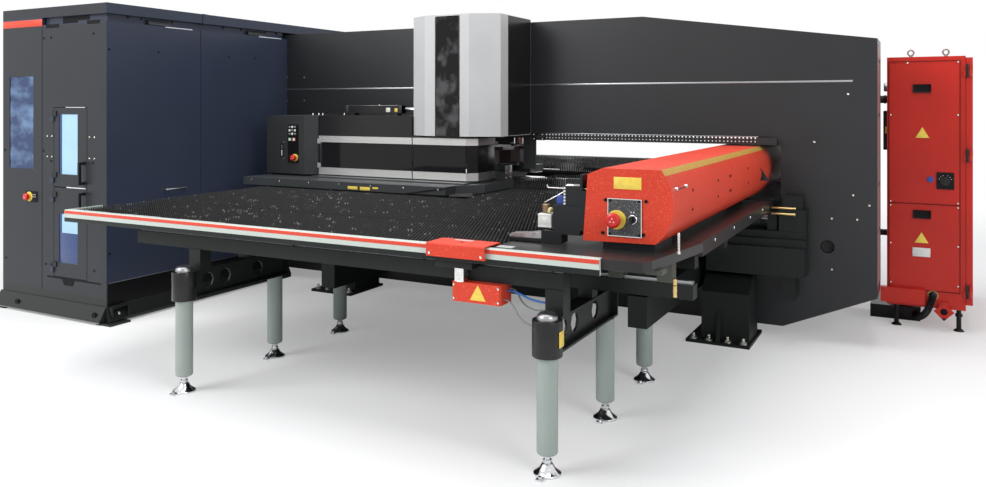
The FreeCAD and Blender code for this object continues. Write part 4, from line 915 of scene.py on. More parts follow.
back_feet = copied(front_feet, "back_feet", (0.0, 0.0, 0.0))
back_feet.data.transform(Matrix.Scale(-1.0, 4, (0.0, 1.0, 0.0)))
pick_faces(back_feet, lambda face: True)
bpy.ops.mesh.normals_make_consistent(inside=False)
bpy.ops.object.mode_set(mode="OBJECT")
bpy.data.objects.remove(one_foot, do_unlink=True)
bell_feet = joined("bell_feet", [front_feet, back_feet])
finish_piece(bell_feet, "machine", chrome_steel)
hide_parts("leg_feet")
print("feet", 2 * len(places))

# %% Smooth sockets over the legs
sockets = []
for x in leg_xs:
    for y in (row_ys[0], -row_ys[0]):
        socket = disc("socket", (x, y, 0.5775), 0.0655, 0.157, "z", 48)
        sockets.append(soften(socket, 0.004))
leg_sockets = joined("leg_sockets", sockets)
finish_piece(leg_sockets, "machine", band_black)
print("sockets", len(sockets))

# %% [markdown]
# ## The bridge frame
# The long dark face of the frame carries a thin bright strip, rows of small screws, a
# sight hole with a black liner, and the cable tray with its row of shiny buttons.

# %% Trim of the frame
frame_y = -0.586
stripe_z = 1.700
left_stripe = block("stripe", (-2.172, frame_y - 0.0015, stripe_z),
                    (-0.384, frame_y + 0.0005, stripe_z + 0.012))
right_stripe = block("stripe", (0.347, frame_y - 0.0015, stripe_z + 0.014),
                     (2.640, frame_y + 0.0005, stripe_z + 0.026))
frame_stripe = soften(joined("frame_stripe", [left_stripe, right_stripe]), 0.0005)
finish_piece(frame_stripe, "machine", rail_silver)
frame_spots = [(-2.107, 1.816), (-1.909, 1.813), (-2.107, 1.605), (-1.909, 1.605), (2.407, 1.323)]
frame_spots += [(2.644, 0.983), (2.739, 0.921), (2.516, 0.824), (2.668, 0.827), (2.516, 0.492),
                (2.408, 1.323), (2.612, 1.636)]
screws("frame_screws", [(x, frame_y, z) for x, z in frame_spots], "y", 0.0065, 0.002)
print("frame screws", len(frame_spots))

# %% Liner of the sight hole
liner = disc("sight_liner", (2.489, -0.572, 0.638), 0.0425, 0.030, "y", 40)
sink(liner, lambda face: face.normal.y < -0.9, 0.004, 0.026)
finish_piece(soften(liner, 0.0006), "machine", hose_black)
print("sight hole liner ready")

# %% [markdown]
# The tray under the upper jaw holds a chain of bright rollers. Only their ends show, as
# a row of small dots, so each is a short dome-ended pin.

# %% Row of dots along the tray
tray_front = -0.640
dot = raise_rings(disc("dot", (0.0, 0.0, 0.0), 0.0062, 0.004, "z", 10), ((0.002, 0.0012),))
dot.data.transform(Matrix.Rotation(math.radians(90.0), 4, "X"))
dot_row = [(0.506 + 0.0260 * i, tray_front - 0.001, 1.340) for i in range(60)]
finish_piece(row_of(dot, "tray_rollers", dot_row), "machine", chrome_steel)
low_dot = raise_rings(disc("dot", (0.0, 0.0, 0.0), 0.0045, 0.004, "z", 8), ((0.0015, 0.001),))
low_dot.data.transform(Matrix.Rotation(math.radians(90.0), 4, "X"))
low_row = [(x, y, 1.316) for x, y, z in dot_row]
finish_piece(row_of(low_dot, "tray_rivets", low_row), "machine", zinc)
plate("tray_lip", (0.500, tray_front - 0.0012, 1.3475), (2.060, tray_front + 0.0005, 1.3535),
      rail_silver)
print("tray rollers", len(dot_row))

# %% Clamped end of the tray
tray_clamp = soften(block("tray_clamp", (0.389, -0.648, 1.296), (0.492, -0.6395, 1.353)), 0.002)
finish_piece(tray_clamp, "machine", band_black)
screws("tray_clamp_screws", [(x, -0.648, z) for x in (0.405, 0.476) for z in (1.308, 1.341)], "y",
       0.006, 0.003)
print("tray clamp ready")

# %% [markdown]
# ## The feet of the frame
# The flanges are held by studs in the floor. The CAD model only has the plain nuts;
# the washers and the ends of the studs are added here.

# %% Studs of the frame feet
foot_bolt_y = 0.912
stud_xs = [x + d for x in (-1.315, 1.855) for d in (-0.160, -0.060, 0.060, 0.160)]
stud_ends = [disc("stud_end", (x, s * foot_bolt_y, 0.0455), 0.0105, 0.020, "z",
                  16) for x in stud_xs for s in (-1.0, 1.0)]
rings = [disc("ring", (x, s * foot_bolt_y, 0.0215), 0.027, 0.003, "z",
              24) for x in stud_xs for s in (-1.0, 1.0)]
floor_studs = soften(joined("floor_studs", stud_ends + rings), 0.0012)
finish_piece(floor_studs, "machine", zinc)
print("studs", len(stud_ends))

# %% [markdown]
# ## The head cover
# Folded pale sheet, with a recess on its right side where the cables run up. The recess
# is a dark strip that is set into the pale side.

# %% Recess and rims of the head cover
head_low, head_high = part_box("head_cover")
recess = block("head_recess", (head_high[0] - 0.0005, -0.975, head_low[2] + 0.004),
               (head_high[0] + 0.0012, -0.590, head_high[2] - 0.004))
sink(recess, lambda face: face.normal.x > 0.9, 0.012, 0.0008)
finish_piece(recess, "machine", band_black)
window_low, window_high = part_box("head_window")
rims = [block("rim", (x - 0.0035, head_low[1] - 0.0032, window_low[2]),
              (x + 0.0035, head_low[1] - 0.0018, window_high[2]))
        for x in (window_low[0] + 0.002, window_high[0] - 0.002)]
finish_piece(soften(joined("head_rims", rims), 0.0004), "machine", hose_black)
print("head cover rims ready")

# %% [markdown]
# ## The turret guard
# Behind the glossy panes stand the turrets. The frame around the panes is a ribbed
# aluminium profile, which the CAD model already has. Gaskets, a handle strip and the
# small plates of the tool changing cylinder are added.

# %% Cylinder on the guard
cylinder_y = -0.960
on_front("cylinder_plate_white", -0.751, -0.711, 1.508, 1.542, cylinder_y, valve_white)
on_front("cylinder_plate_yellow", -0.668, -0.640, 1.510, 1.538, cylinder_y, label_yellow)
rod_cover = soften(disc("cylinder_rod", (-0.4945, -0.930, 1.531), 0.0158, 0.205, "x", 28), 0.001)
finish_piece(rod_cover, "machine", chrome_steel)
cylinder_ends = [soften(block("end", (x, -0.9625, 1.4985), (x + 0.030, -0.8985, 1.5615)),
                        0.002) for x in (-1.152, -0.630)]
finish_piece(joined("cylinder_ends", cylinder_ends), "machine", motor_paint)
plate("cylinder_edge", (-1.118, -0.9615, 1.5595), (-0.632, -0.955, 1.5612), rail_silver)
clip_spots = [(-1.334, -1.150), (-1.290, -1.130), (-1.233, -1.150), (-1.165, -0.960)]
clips = [soften(disc("clip", (x, y, 1.490), 0.007, 0.018, "z", 12, 0.004), 0.001) for x,
         y in clip_spots]
clips.append(soften(disc("clip", (-0.840, -0.925, 1.5645), 0.006, 0.008, "z", 12, 0.004), 0.001))
finish_piece(joined("guard_top_screws", clips), "machine", zinc)
print("guard fittings", len(clips))

# %% Dark skins of the guard's right end
plate("guard_side_skin", (0.1478, -1.0785, 1.0645), (0.1492, -0.8170, 1.2665), band_black)
corner_skin = block("guard_corner_skin", (-0.0408, -0.0007, -0.1010), (0.0408, 0.0007, 0.1010))
corner_skin.data.transform(Matrix.Translation((0.1196, -1.1076,
                                               1.1655)) @ Matrix.Rotation(math.radians(45.0), 4,
                                                       "Z"))
finish_piece(corner_skin, "machine", band_black)
throat_plate = block("throat_plate", (0.283, -0.5855, 1.070), (0.383, -0.5600, 1.330))
sink(throat_plate, lambda face: face.normal.y < -0.9, 0.006, 0.001)
finish_piece(throat_plate, "machine", deck_paint)
print("guard skins ready")

on_front("door_stile_skin", -1.2775, -1.2500, 1.0645, 1.2665, -1.148, band_black, "turret_door")

# %% Gasket between the door and the fixed pane
gasket = block("door_gasket", (-0.3815, -1.1490, 1.008), (-0.3785, -1.1415, 1.317))
finish_piece(soften(gasket, 0.0006), "turret_door", hose_black)
print("door gasket ready")

# %% [markdown]
# ## The control box
# Nine small lamps, two push buttons, a mushroom head with a yellow collar and a lock.
# The CAD model has the panel and the buttons. Lenses, rings and the lock plate follow.

# %% Lamps of the control panel
panel_y = -1.192
lamp_xs = (-1.536, -1.508, -1.479)
lamp_zs = (1.385, 1.357, 1.329)
lens = soften(raise_rings(disc("lens", (0.0, 0.0, 0.0), 0.0102, 0.004, "z", 20),
                          ((0.0025, 0.0025),)), 0.0006)
lens.data.transform(Matrix.Rotation(math.radians(90.0), 4, "X"))
lit = [(-1.536, 1.357), (-1.508, 1.385), (-1.479, 1.357), (-1.508, 1.329)]
bright = [(x, panel_y - 0.0085, z) for x, z in lit]
dull = [(x, panel_y - 0.0085, z) for x in lamp_xs for z in lamp_zs if (x, z) not in lit]
finish_piece(row_of(copied(lens, "lens_copy", (0.0, 0.0, 0.0)), "bright_lenses", bright), "machine",
             valve_white)
finish_piece(row_of(lens, "dull_lenses", dull), "machine", lens_grey)
print("lenses", len(bright) + len(dull))

# %% Collar, button faces and lock
estop_ring = disc("control_collar", (-1.484, panel_y - 0.0035, 1.136), 0.0310, 0.007, "y", 36)
finish_piece(soften(estop_ring, 0.0015), "machine", label_yellow)
cap_places = {"start_cap": (-1.530, "start_button"), "stop_cap": (-1.488, "stop_button")}
for name, (x, body) in cap_places.items():
    face = block(name, (x - 0.0115, -1.2052, 1.2735), (x + 0.0115, -1.2035, 1.2965))
    sink(face, lambda polygon: polygon.normal.y < -0.9, 0.002, 0.0006)
    finish_piece(face, body, valve_white)
lock = soften(block("lock_plate", (-1.640, -1.1925, 1.140), (-1.612, -1.1895, 1.250)), 0.001)
finish_piece(lock, "machine", panel_black)
on_front("lock_key", -1.630, -1.621, 1.150, 1.196, -1.1925, valve_white)
on_front("lock_slot", -1.630, -1.621, 1.205, 1.238, -1.1925, rail_silver)
screws("lock_screws", [(-1.604, -1.190, 1.262), (-1.604, -1.190, 1.128)], "y", 0.004, 0.002)
print("control panel dressed")

# %% Frame of the control panel
panel_rim = block("panel_rim", (-1.5625, -1.1935, 1.0945), (-1.4515, -1.1895, 1.4055))
sink(panel_rim, lambda face: face.normal.y < -0.9, 0.0035, 0.0012)
finish_piece(panel_rim, "machine", panel_black)
print("panel rim ready")

# %% [markdown]
# ## The deck
# Three plain yellow plates sit on the front of the deck, beside a row of small screws.

# %% Plates and screws of the deck
deck_y = -1.455
for name, x0, x1, z0, z1 in (("deck_plate_left", -0.746, -0.658, 0.940, 0.962),
                             ("deck_plate_right", -0.635, -0.544, 0.938, 0.962),
                             ("deck_plate_small", -0.521, -0.471, 0.951, 0.964)):
    on_front(name, x0, x1, z0, z1, deck_y, label_yellow)
deck_spots = [(-1.700 + 0.29 * i, deck_y, 0.975) for i in range(7)]
screws("deck_screws", deck_spots, "y", 0.005, 0.002)
on_side("end_block_plate", -0.808, -0.695, 0.995, 1.104, 0.238, jaw_steel)
screws("end_block_screws", [(0.2395, y, z) for y in (-0.790, -0.712) for z in (1.010, 1.050)], "x",
       0.007, 0.004)
print("deck plates ready")

# %% [markdown]
# ## The tool changer
# The tall cabinet is folded sheet on a base frame. Its trim: a red stripe near the roof,
# dark gaps where panels meet, bright slits at the doors, bow handles and many screws.

# %% Stripe, gaps and slits of the front
changer_y = -2.460
on_front("changer_stripe", -3.3245, -2.8405, 2.160, 2.212, changer_y, band_red, thick=0.0010)
gap_boxes = ((-2.795, -2.638, 2.140, 2.168), (-2.638, -2.469, 2.168, 2.2205),
             (-2.469, -2.334, 2.188, 2.2205),
             (-2.324, -2.182, 2.150, 2.178))
gaps = [block("gap", (x0, changer_y - 0.0010, z0), (x1, changer_y + 0.0005, z1)) for x0, x1, z0,
        z1 in gap_boxes[:1] + gap_boxes[3:]]
gaps += [block("gap", (x0, changer_y + 0.0285, z0), (x1, changer_y + 0.0305, z1)) for x0, x1, z0,
         z1 in gap_boxes[1:3]]
low_gap = block("gap", (-2.780, changer_y - 0.0010, 0.274), (-2.172, changer_y + 0.0005, 0.287))
notch = block("gap", (-2.606, changer_y - 0.0010, 0.232), (-2.458, changer_y + 0.0005, 0.2745))
pick_faces(notch, lambda face: face.normal.z < -0.9)
bpy.ops.transform.resize(value=(0.70, 1.0, 1.0), center_override=(-2.532, changer_y, 0.232))
bpy.ops.object.mode_set(mode="OBJECT")
finish_piece(joined("changer_gaps", gaps + [low_gap, notch]), "machine", gap_black)
on_front("upper_slit", -2.565, -2.345, 1.541, 1.5490, changer_y, slit_white, thick=0.0008)
on_front("middle_slit", -2.553, -2.335, 0.9525, 0.9600, changer_y - 0.0012, slit_white,
         thick=0.0008)
print("gaps", len(gaps) + 2)

# %% [markdown]
# The front and the side are painted alike. The front panels get a greyer copy of that paint, which is
# painted light: it stands for the extra light that the front catches. They are thin skins over the walls,
# cut round the window and the doors.


# %% Skin of the front
def front_skin(name, x0, x1, z0, z1, hole, y):
    """Thin sheet on a front face, with one opening; the hole is x0, x1, z0, z1."""
    hx0, hx1, hz0, hz1 = hole
    strips = (((x0, z0), (x1, hz0)), ((x0, hz1), (x1, z1)), ((x0, hz0), (hx0, hz1)),
              ((hx1, hz0), (x1, hz1)))
    pieces = [block("strip", (a[0], y - 0.0008, a[1]), (b[0], y + 0.0004, b[1])) for a, b in strips
              if b[0] > a[0] and b[1] > a[1]]
    return finish_piece(joined(name, pieces), "machine", changer_front_lit_paint)


front_skin("left_skin", -3.3245, -2.8435, 0.183, 2.1595, (-3.240, -2.946, 1.076, 1.784), changer_y)
front_skin("right_skin", -2.8365, -2.1105, 0.183, 2.1595, (-2.704, -2.320, 0.286, 1.551), changer_y)
front_skin("roof_skin", -3.3245, -2.1105, 2.2235, 2.2975, (-3.3245, -3.3245, 2.2235, 2.2975),
           changer_y)
print("front skins ready")

# %% Handles
bow_x = -2.352
half = 0.0095


def bow_handle(name, z0, z1, body):
    """Bow handle with round corners on a door."""
    grip = block("grip", (bow_x - half, -2.5115, z0 - half), (bow_x + half, -2.4925, z1 + half))
    arms = [block("arm", (bow_x - half, -2.4935, z - half),
                  (bow_x + half, -2.4600, z + half)) for z in (z0, z1)]
    feet = [block("seat", (bow_x - 0.013, -2.4640, z - 0.016),
                  (bow_x + 0.013, -2.4605, z + 0.016)) for z in (z0, z1)]
    return finish_piece(soften(joined(name, [grip] + arms + feet), 0.0045, 3), body, knob_black)


bow_handle("upper_handle", 0.995, 1.140, "changer_top_door")
bow_handle("lower_handle", 0.800, 0.918, "changer_bottom_door")
print("handles ready")

# %% Emergency stop of the changer
on_front("changer_stop_plate", -3.041, -2.894, 0.827, 0.909, -2.464, panel_black, thick=0.0016)
ring = disc("changer_collar", (-2.986, -2.4675, 0.868), 0.0370, 0.006, "y", 36)
finish_piece(soften(ring, 0.0015), "machine", label_yellow)
dots = [(x, -2.4656, z) for x in (-2.945, -2.930, -2.915) for z in (0.885, 0.868)]
screws("changer_stop_marks", dots, "y", 0.0035, 0.0012, material=valve_white)
print("stop plate ready")

# %% Screws of the changer
dark_spots = [(-2.817, 2.067), (-2.732, 2.069), (-2.252, 2.079), (-3.300, 1.215), (-2.822, 1.220),
              (-2.732, 1.146),
              (-2.256, 1.148), (-3.286, 0.376), (-2.797, 0.370), (-2.730, 0.373), (-2.242, 0.369)]
screws("changer_dark_screws", [(x, changer_y - 0.0008, z) for x, z in dark_spots], "y", 0.009,
       0.002, material=gap_black)
light_spots = [(x, z) for x in (-2.773, -2.720, -2.293, -2.238) for z in (1.180, 1.334)]
screws("changer_light_screws", [(x, changer_y - 0.0008, z) for x, z in light_spots], "y", 0.006,
       0.003)
side_spots = [(-2.440, 1.962), (-2.013, 1.965), (-0.993, 1.971), (-2.438, 0.499), (-1.300, 1.965),
              (-0.75, 0.6)]
screws("changer_side_screws", [(-2.110, y, z) for y, z in side_spots], "x", 0.008, 0.002,
       material=gap_black)
print("changer screws", len(dark_spots) + len(light_spots) + len(side_spots))

# %% Roof clips and bright edges of the side
roof_clips = []
for y0, y1 in ((-2.100, -1.904), (-1.070, -0.880)):
    clip = block("clip", (-2.141, y0, 2.172), (-2.112, y1, 2.208))
    sink(clip, lambda face: face.normal.x > 0.9, 0.008, 0.006)
    roof_clips.append(clip)
bolts_of_roof = [disc("bolt", (-2.136, y, 2.210), 0.008, 0.018, "x", 10)
                 for y in (-2.440, -2.260, -2.140, -1.860, -1.330, -1.130, -0.840, -0.700)]
finish_piece(soften(joined("roof_clips", roof_clips + bolts_of_roof), 0.0015), "machine",
             changer_front_lit_paint)
for name, y0, y1, z in (("roof_slit_front", -1.947, -1.686, 2.1625),
                        ("roof_slit_back", -0.948, -0.668, 2.1625)):
    on_side(name, y0, y1, z - 0.004, z + 0.003, -2.110, slit_white)
on_side("side_foot_edge", -2.440, -0.640, 0.286, 0.2895, -2.110, rail_silver)
on_side("side_foot_panel", -2.450, -0.640, 0.128, 0.284, -2.110, gap_black, thick=0.0008)
print("roof clips", len(roof_clips))

# %% Grab bar on the side
bar = disc("bar", (-2.082, -1.8655, 0.9165), 0.0055, 0.200, "y", 16)
posts = [disc("post", (-2.0955, y, 0.9165), 0.0065, 0.029, "x", 16) for y in (-1.960, -1.771)]
finish_piece(soften(joined("side_bar", [bar] + posts), 0.0012), "machine", rail_silver)
print("grab bar ready")

# %% Base of the changer
base_bolts = [disc("bolt", (x, -2.506, 0.066), 0.020, 0.012, "y", 24) for x in (-3.071, -2.182)]
for bolt in base_bolts:
    sink(bolt, lambda face: face.normal.y < -0.9, 0.006, 0.003)
finish_piece(joined("base_bolts", base_bolts), "machine", gap_black)
on_front("base_edge", -3.335, -2.112, 0.0155, 0.0205, -2.520, rail_silver, thick=0.0010)
corner = []
for y0, y1 in ((-2.452, -2.440), (-2.320, -2.308)):
    corner.append(block("rib", (-2.111, y0, 0.040), (-2.062, y1, 0.116)))
corner.append(block("plate", (-2.111, -2.452, 0.112), (-2.066, -2.308, 0.118)))
corner.append(block("plate", (-2.080, -2.452, 0.030), (-2.060, -2.308, 0.038)))
finish_piece(soften(joined("corner_bracket", corner), 0.0015), "machine", stand_paint)
corner_bolt = soften(disc("bolt", (-2.088, -2.380, 0.064), 0.014, 0.030, "z", 6), 0.002)
finish_piece(joined("corner_bolt", [corner_bolt]), "machine", zinc)
print("base dressed")

# %% [markdown]
# ### What shows behind the changer's window
# Through the blue pane one sees pale boxes and dark rails of the tool store, out of
# focus. A few plain boxes on the shelf column are enough.

# %% Boxes behind the front window
store = []
for x0, z0, x1, z1 in ((-3.215, 1.360, -3.110, 1.450), (-3.205, 1.210, -3.060, 1.300),
                       (-3.180, 1.660, -3.060, 1.700)):
    store.append(soften(block("box", (x0, -2.360, z0), (x1, -2.330, z1)), 0.004))
finish_piece(joined("store_boxes", store), "machine", store_blue)
rails_of_store = [block("rail", (x, -2.350, 1.080), (x + 0.012, -2.338, 1.780)) for x in (-3.225,
        -3.080, -2.965)]
rails_of_store += [block("rail", (-3.238, -2.350, z), (-2.948, -2.338, z + 0.012)) for z in (1.190,
        1.330, 1.480, 1.640)]
finish_piece(soften(joined("store_rails", rails_of_store), 0.002), "machine", store_dark)
tie = block("tie", (-3.290, -2.352, 1.480), (-3.226, -2.336, 1.492))
finish_piece(tie, "machine", store_dark)
print("store boxes", len(store))

# %% Shaded parts of the door windows
on_front("upper_window_edge", -2.6390, -2.6120, 1.0530, 1.4955, -2.456, shade_blue,
         "changer_top_door")
on_front("lower_window_edge", -2.6390, -2.6120, 0.6185, 0.7585, -2.456, shade_blue,
         "changer_bottom_door")
on_front("lower_window_shade", -2.6390, -2.4290, 0.3970, 0.6180, -2.456, shade_blue,
         "changer_bottom_door")
print("window shades ready")

# %% [markdown]
# ## The carriage cover
# The cover is a long folded shell in orange red. Along its rounded edge runs a yellow
# tape with thin slanting lines. The tape follows the curve, so it is one strip of sheet
# that is spun about the axis of the rounding and then given its thickness.

# %% Finish of the tape
hazard_tape, add, link, shader = start("hazard_tape")
slant = add("ShaderNodeTexCoord")
turned = add("ShaderNodeMapping")
turned.inputs["Rotation"].default_value = (math.radians(-50.0), 0.0, 0.0)
stripes = add("ShaderNodeTexWave", Scale=14.0, Distortion=0.0, bands_direction="Y",
              wave_profile="SIN")
link(slant.outputs["Object"], turned.inputs["Vector"])
link(turned.outputs["Vector"], stripes.inputs["Vector"])
two_tone = add("ShaderNodeValToRGB")
two_tone.color_ramp.elements[0].position = 0.28
two_tone.color_ramp.elements[0].color = (0.42, 0.12, 0.04, 1.0)
two_tone.color_ramp.elements[1].position = 0.42
two_tone.color_ramp.elements[1].color = (0.58, 0.42, 0.07, 1.0)
link(stripes.outputs["Fac"], two_tone.inputs["Fac"])
link(two_tone.outputs["Color"], shader.inputs["Base Color"])
wear = noise_at(add, link, 30.0, 4.0)
link(rough_range(add, link, wear, 0.40, 0.55).outputs["Result"], shader.inputs["Roughness"])
print("tape finish ready")

# %% Tape along the rounded edge
arc_x, arc_z, arc_r = 1.89975, 1.13711, 0.22163
crease = math.radians(42.56)
tape_r = arc_r + 0.0004
tape_half = 2.930
edge_x = arc_x + tape_r * math.cos(crease)
edge_z = arc_z + tape_r * math.sin(crease)
deselect()
bpy.ops.mesh.primitive_plane_add(size=1.0, location=(edge_x + 0.0005, 0.0, edge_z))
bpy.context.object.scale = (0.001, 2.0 * tape_half, 1.0)
tape = settle("hazard_strip")
activate(tape)
bpy.ops.object.mode_set(mode="EDIT")
bpy.ops.mesh.select_all(action="SELECT")
bpy.ops.transform.resize(value=(0.0, 1.0, 1.0), center_override=(edge_x, 0.0, edge_z))
bpy.ops.mesh.remove_doubles(threshold=0.0001)
bpy.ops.mesh.select_all(action="SELECT")
bpy.ops.mesh.spin(steps=6, angle=math.radians(-8.5), center=(arc_x, 0.0, arc_z),
                  axis=(0.0, 1.0, 0.0))
bpy.ops.object.mode_set(mode="OBJECT")
skin = tape.modifiers.new("thickness", "SOLIDIFY")
skin.thickness = 0.0006
skin.offset = 0.0
activate(tape)
bpy.ops.object.modifier_apply(modifier="thickness")
bpy.ops.object.shade_smooth_by_angle(angle=math.radians(40.0))
pick_faces(tape, lambda face: True)
bpy.ops.mesh.normals_make_consistent(inside=False)
bpy.ops.object.mode_set(mode="OBJECT")
finish_piece(tape, "carriage", hazard_tape)
print("tape corners", len(tape.data.vertices))

# %% Plate and screws on the end of the cover
end_y = -2.940
on_front("cover_plate", 1.856, 1.981, 1.199, 1.251, end_y, label_yellow, "carriage")
corner_spots = [(1.819, 1.148), (2.002, 1.150), (1.806, 1.003), (1.991, 1.006)]
screws("cover_end_screws", [(x, end_y, z) for x, z in corner_spots], "y", 0.0075, 0.004, "carriage",
       gap_black)
print("cover end screws", len(corner_spots))

# %% [markdown]
# The switch plate is speckled dark laminate in a silver rim. A yellow ring sits behind
# the mushroom head, and the selector has a silver bezel with two short marks above it.

# %% Finish of the switch plate
plate_speckled, add, link, shader = start("plate_speckled")
grains = noise_at(add, link, 160.0, 3.0)
link(shades(add, link, grains, (0.035, 0.037, 0.040), (0.50, 0.52, 0.54), 0.58,
            0.72).outputs["Color"], shader.inputs["Base Color"])
link(rough_range(add, link, grains, 0.30, 0.50).outputs["Result"], shader.inputs["Roughness"])
dress(plate_speckled, "carriage_switch_plate")
print("switch plate finish ready")

# %% Rim, screws, ring and bezel of the switch plate
plate_y = -2.944
rim = block("switch_rim", (1.8295, plate_y - 0.0022, 0.9925), (1.9835, plate_y + 0.0004, 1.1575))
pick_faces(rim, lambda face: abs(face.normal.y) > 0.9)
bpy.ops.mesh.inset(thickness=0.0032)
bpy.ops.mesh.delete(type="FACE")
bpy.ops.object.mode_set(mode="OBJECT")
print("rim faces", len(rim.data.polygons))
activate(rim)
bpy.ops.object.mode_set(mode="EDIT")
bpy.ops.mesh.select_mode(type="EDGE")
bpy.ops.mesh.select_all(action="DESELECT")
bpy.ops.mesh.select_non_manifold()
bpy.ops.mesh.bridge_edge_loops()
bpy.ops.object.mode_set(mode="OBJECT")
finish_piece(rim, "carriage", bright_sheet)
plate_spots = [(x, plate_y, z) for x in (1.839, 1.974) for z in (1.002, 1.148)]
screws("switch_screws", plate_spots, "y", 0.0060, 0.003, "carriage", gap_black)
collar = disc("carriage_collar", (1.872, -2.9459, 1.065), 0.0420, 0.0158, "y", 40)
sink(collar, lambda face: face.normal.y < -0.9, 0.009, 0.0005)
finish_piece(soften(collar, 0.0015), "carriage", label_yellow)
bezel = raise_rings(disc("selector_bezel", (0.0, 0.0, 0.0), 0.0205, 0.004, "z", 32),
                    ((0.0015, 0.0015),))
bezel.data.transform(Matrix.Translation((1.943, plate_y - 0.0018,
                                         1.069)) @ Matrix.Rotation(math.radians(90.0), 4, "X"))
finish_piece(bezel, "carriage", chrome_steel)
marks = [block("mark", (1.934 + 0.012 * i, plate_y - 0.0006, 1.097),
               (1.938 + 0.012 * i, plate_y + 0.0004, 1.104)) for i in range(2)]
finish_piece(soften(joined("switch_marks", marks), 0.0002, 1), "carriage", valve_white)
print("switch plate dressed")

# %% Lines on the mushroom heads
def head_marks(name, x, y, z, body):
    """Three short pale bars on the face of a mushroom head."""
    bars = []
    for turn in (90.0, 210.0, 330.0):
        away = math.radians(turn)
        bar = block("bar", (0.006, -0.0006, -0.0018), (0.0125, 0.0006, 0.0018))
        bar.data.transform(Matrix.Rotation(-away, 4, "Y"))
        bars.append(bar)
    marks = joined(name, bars)
    marks.data.transform(Matrix.Translation((x, y, z)))
    return finish_piece(marks, body, valve_white)


def mushroom_head(name, place, radius, body):
    """Domed cap that faces -Y, over a stop head whose front is at place."""
    cap = raise_rings(disc(name, (0.0, 0.0, -0.0130), radius, 0.0160, "z", 40),
                      ((0.004, 0.004), (0.008, 0.002)))
    soften(cap, 0.0015, 3)
    cap.data.transform(Matrix.Translation(place) @ Matrix.Rotation(math.radians(90.0), 4, "X"))
    finish_piece(cap, body, button_red)
    head_marks(name + "_marks", place[0], place[1] - 0.0010, place[2], body)


mushroom_head("carriage_head", (1.867, -2.9950, 1.065), 0.0325, "carriage_stop_head")
mushroom_head("control_head", (-1.484, -1.2320, 1.136), 0.0245, "control_stop_head")
mushroom_head("changer_head", (-2.988, -2.5050, 0.868), 0.0265, "changer_stop")
print("heads marked")

# %% Screws and link on the rounded side
side_spots = []
for y, z in ((-2.604, 1.174), (-2.604, 1.088), (-2.089, 1.176), (-2.089, 1.096), (-1.814, 1.177),
             (-1.814, 1.100),
             (-1.780, 1.177), (-1.780, 1.100), (-1.289, 1.184), (-1.289, 1.099), (-0.900, 1.150)):
    side_spots.append((arc_x + math.sqrt(arc_r ** 2 - (z - arc_z) ** 2) - 0.0003, y, z))
screws("cover_side_screws", side_spots, "x", 0.0075, 0.0022, "carriage", gap_black)
link_x = arc_x + math.sqrt(arc_r ** 2 - 0.0654 ** 2)
rod = disc("rod", (link_x + 0.0085, -2.797, 1.2025), 0.0028, 0.160, "y", 12)
eyes = [soften(disc("eye", (link_x + 0.004, y, 1.2025), 0.008, 0.016, "x", 16),
               0.001) for y in (-2.875, -2.719)]
finish_piece(joined("cover_link", [rod] + eyes), "carriage", chrome_steel)
print("side screws", len(side_spots))

# %% Bracket and rod behind the cover
bracket = disc("cover_bracket", (2.100, -0.863, 1.115), 0.075, 0.006, "y", 3)
finish_piece(soften(bracket, 0.001), "carriage", band_black)
lamp_rod = soften(disc("rod", (2.132, -2.900, 0.975), 0.0060, 0.092, "z", 16), 0.0015)
rod_foot = soften(disc("foot", (2.132, -2.900, 0.934), 0.0095, 0.010, "z", 6), 0.0012)
finish_piece(joined("cover_post", [lamp_rod, rod_foot]), "carriage", zinc)
print("post ready")

# %% [markdown]
# ## The smooth plate of the carriage
# The plate beside the brushes carries the cover. Its edge shows round pins, and pale guide blocks stand
# under it; the two bolts that hang below it are left out.

# %% Pins of the plate edge and guide blocks
pins = [soften(disc("pin", (2.1505, y, 0.905), 0.008, 0.006, "x", 16), 0.001) for y in (-2.300,
        -1.850, -1.400, -1.000)]
finish_piece(joined("edge_pins", pins), "machine", chrome_steel)
guide_blocks = []
for y in (-3.030, 3.030):
    for x in (1.700, 1.875, 2.035):
        guide_blocks.append(soften(block("block", (x, y - 0.036, 0.8645),
                                         (x + 0.075, y + 0.036, 0.8850)), 0.0025))
finish_piece(joined("guide_blocks", guide_blocks), "carriage", block_grey)
print("pins", len(pins), "blocks", len(guide_blocks))

# %% Brass fittings of the air line
fittings = []
for z in (0.842, 0.815, 0.792):
    fittings.append(soften(disc("body", (2.1545, -3.040, z), 0.0085, 0.018, "z", 12), 0.0015))
    fittings.append(soften(disc("nut", (2.1545, -3.040, z - 0.0115), 0.0100, 0.007, "z", 6),
                           0.0012))
finish_piece(joined("air_fittings", fittings), "machine", bearing_brass)
print("fittings", len(fittings))

# %% [markdown]
# ## The work clamps
# Each clamp has a steel body with a shelf, a terminal box with small white screws, a
# bright cover plate and a lever. One of them also carries the air valve with its knob.

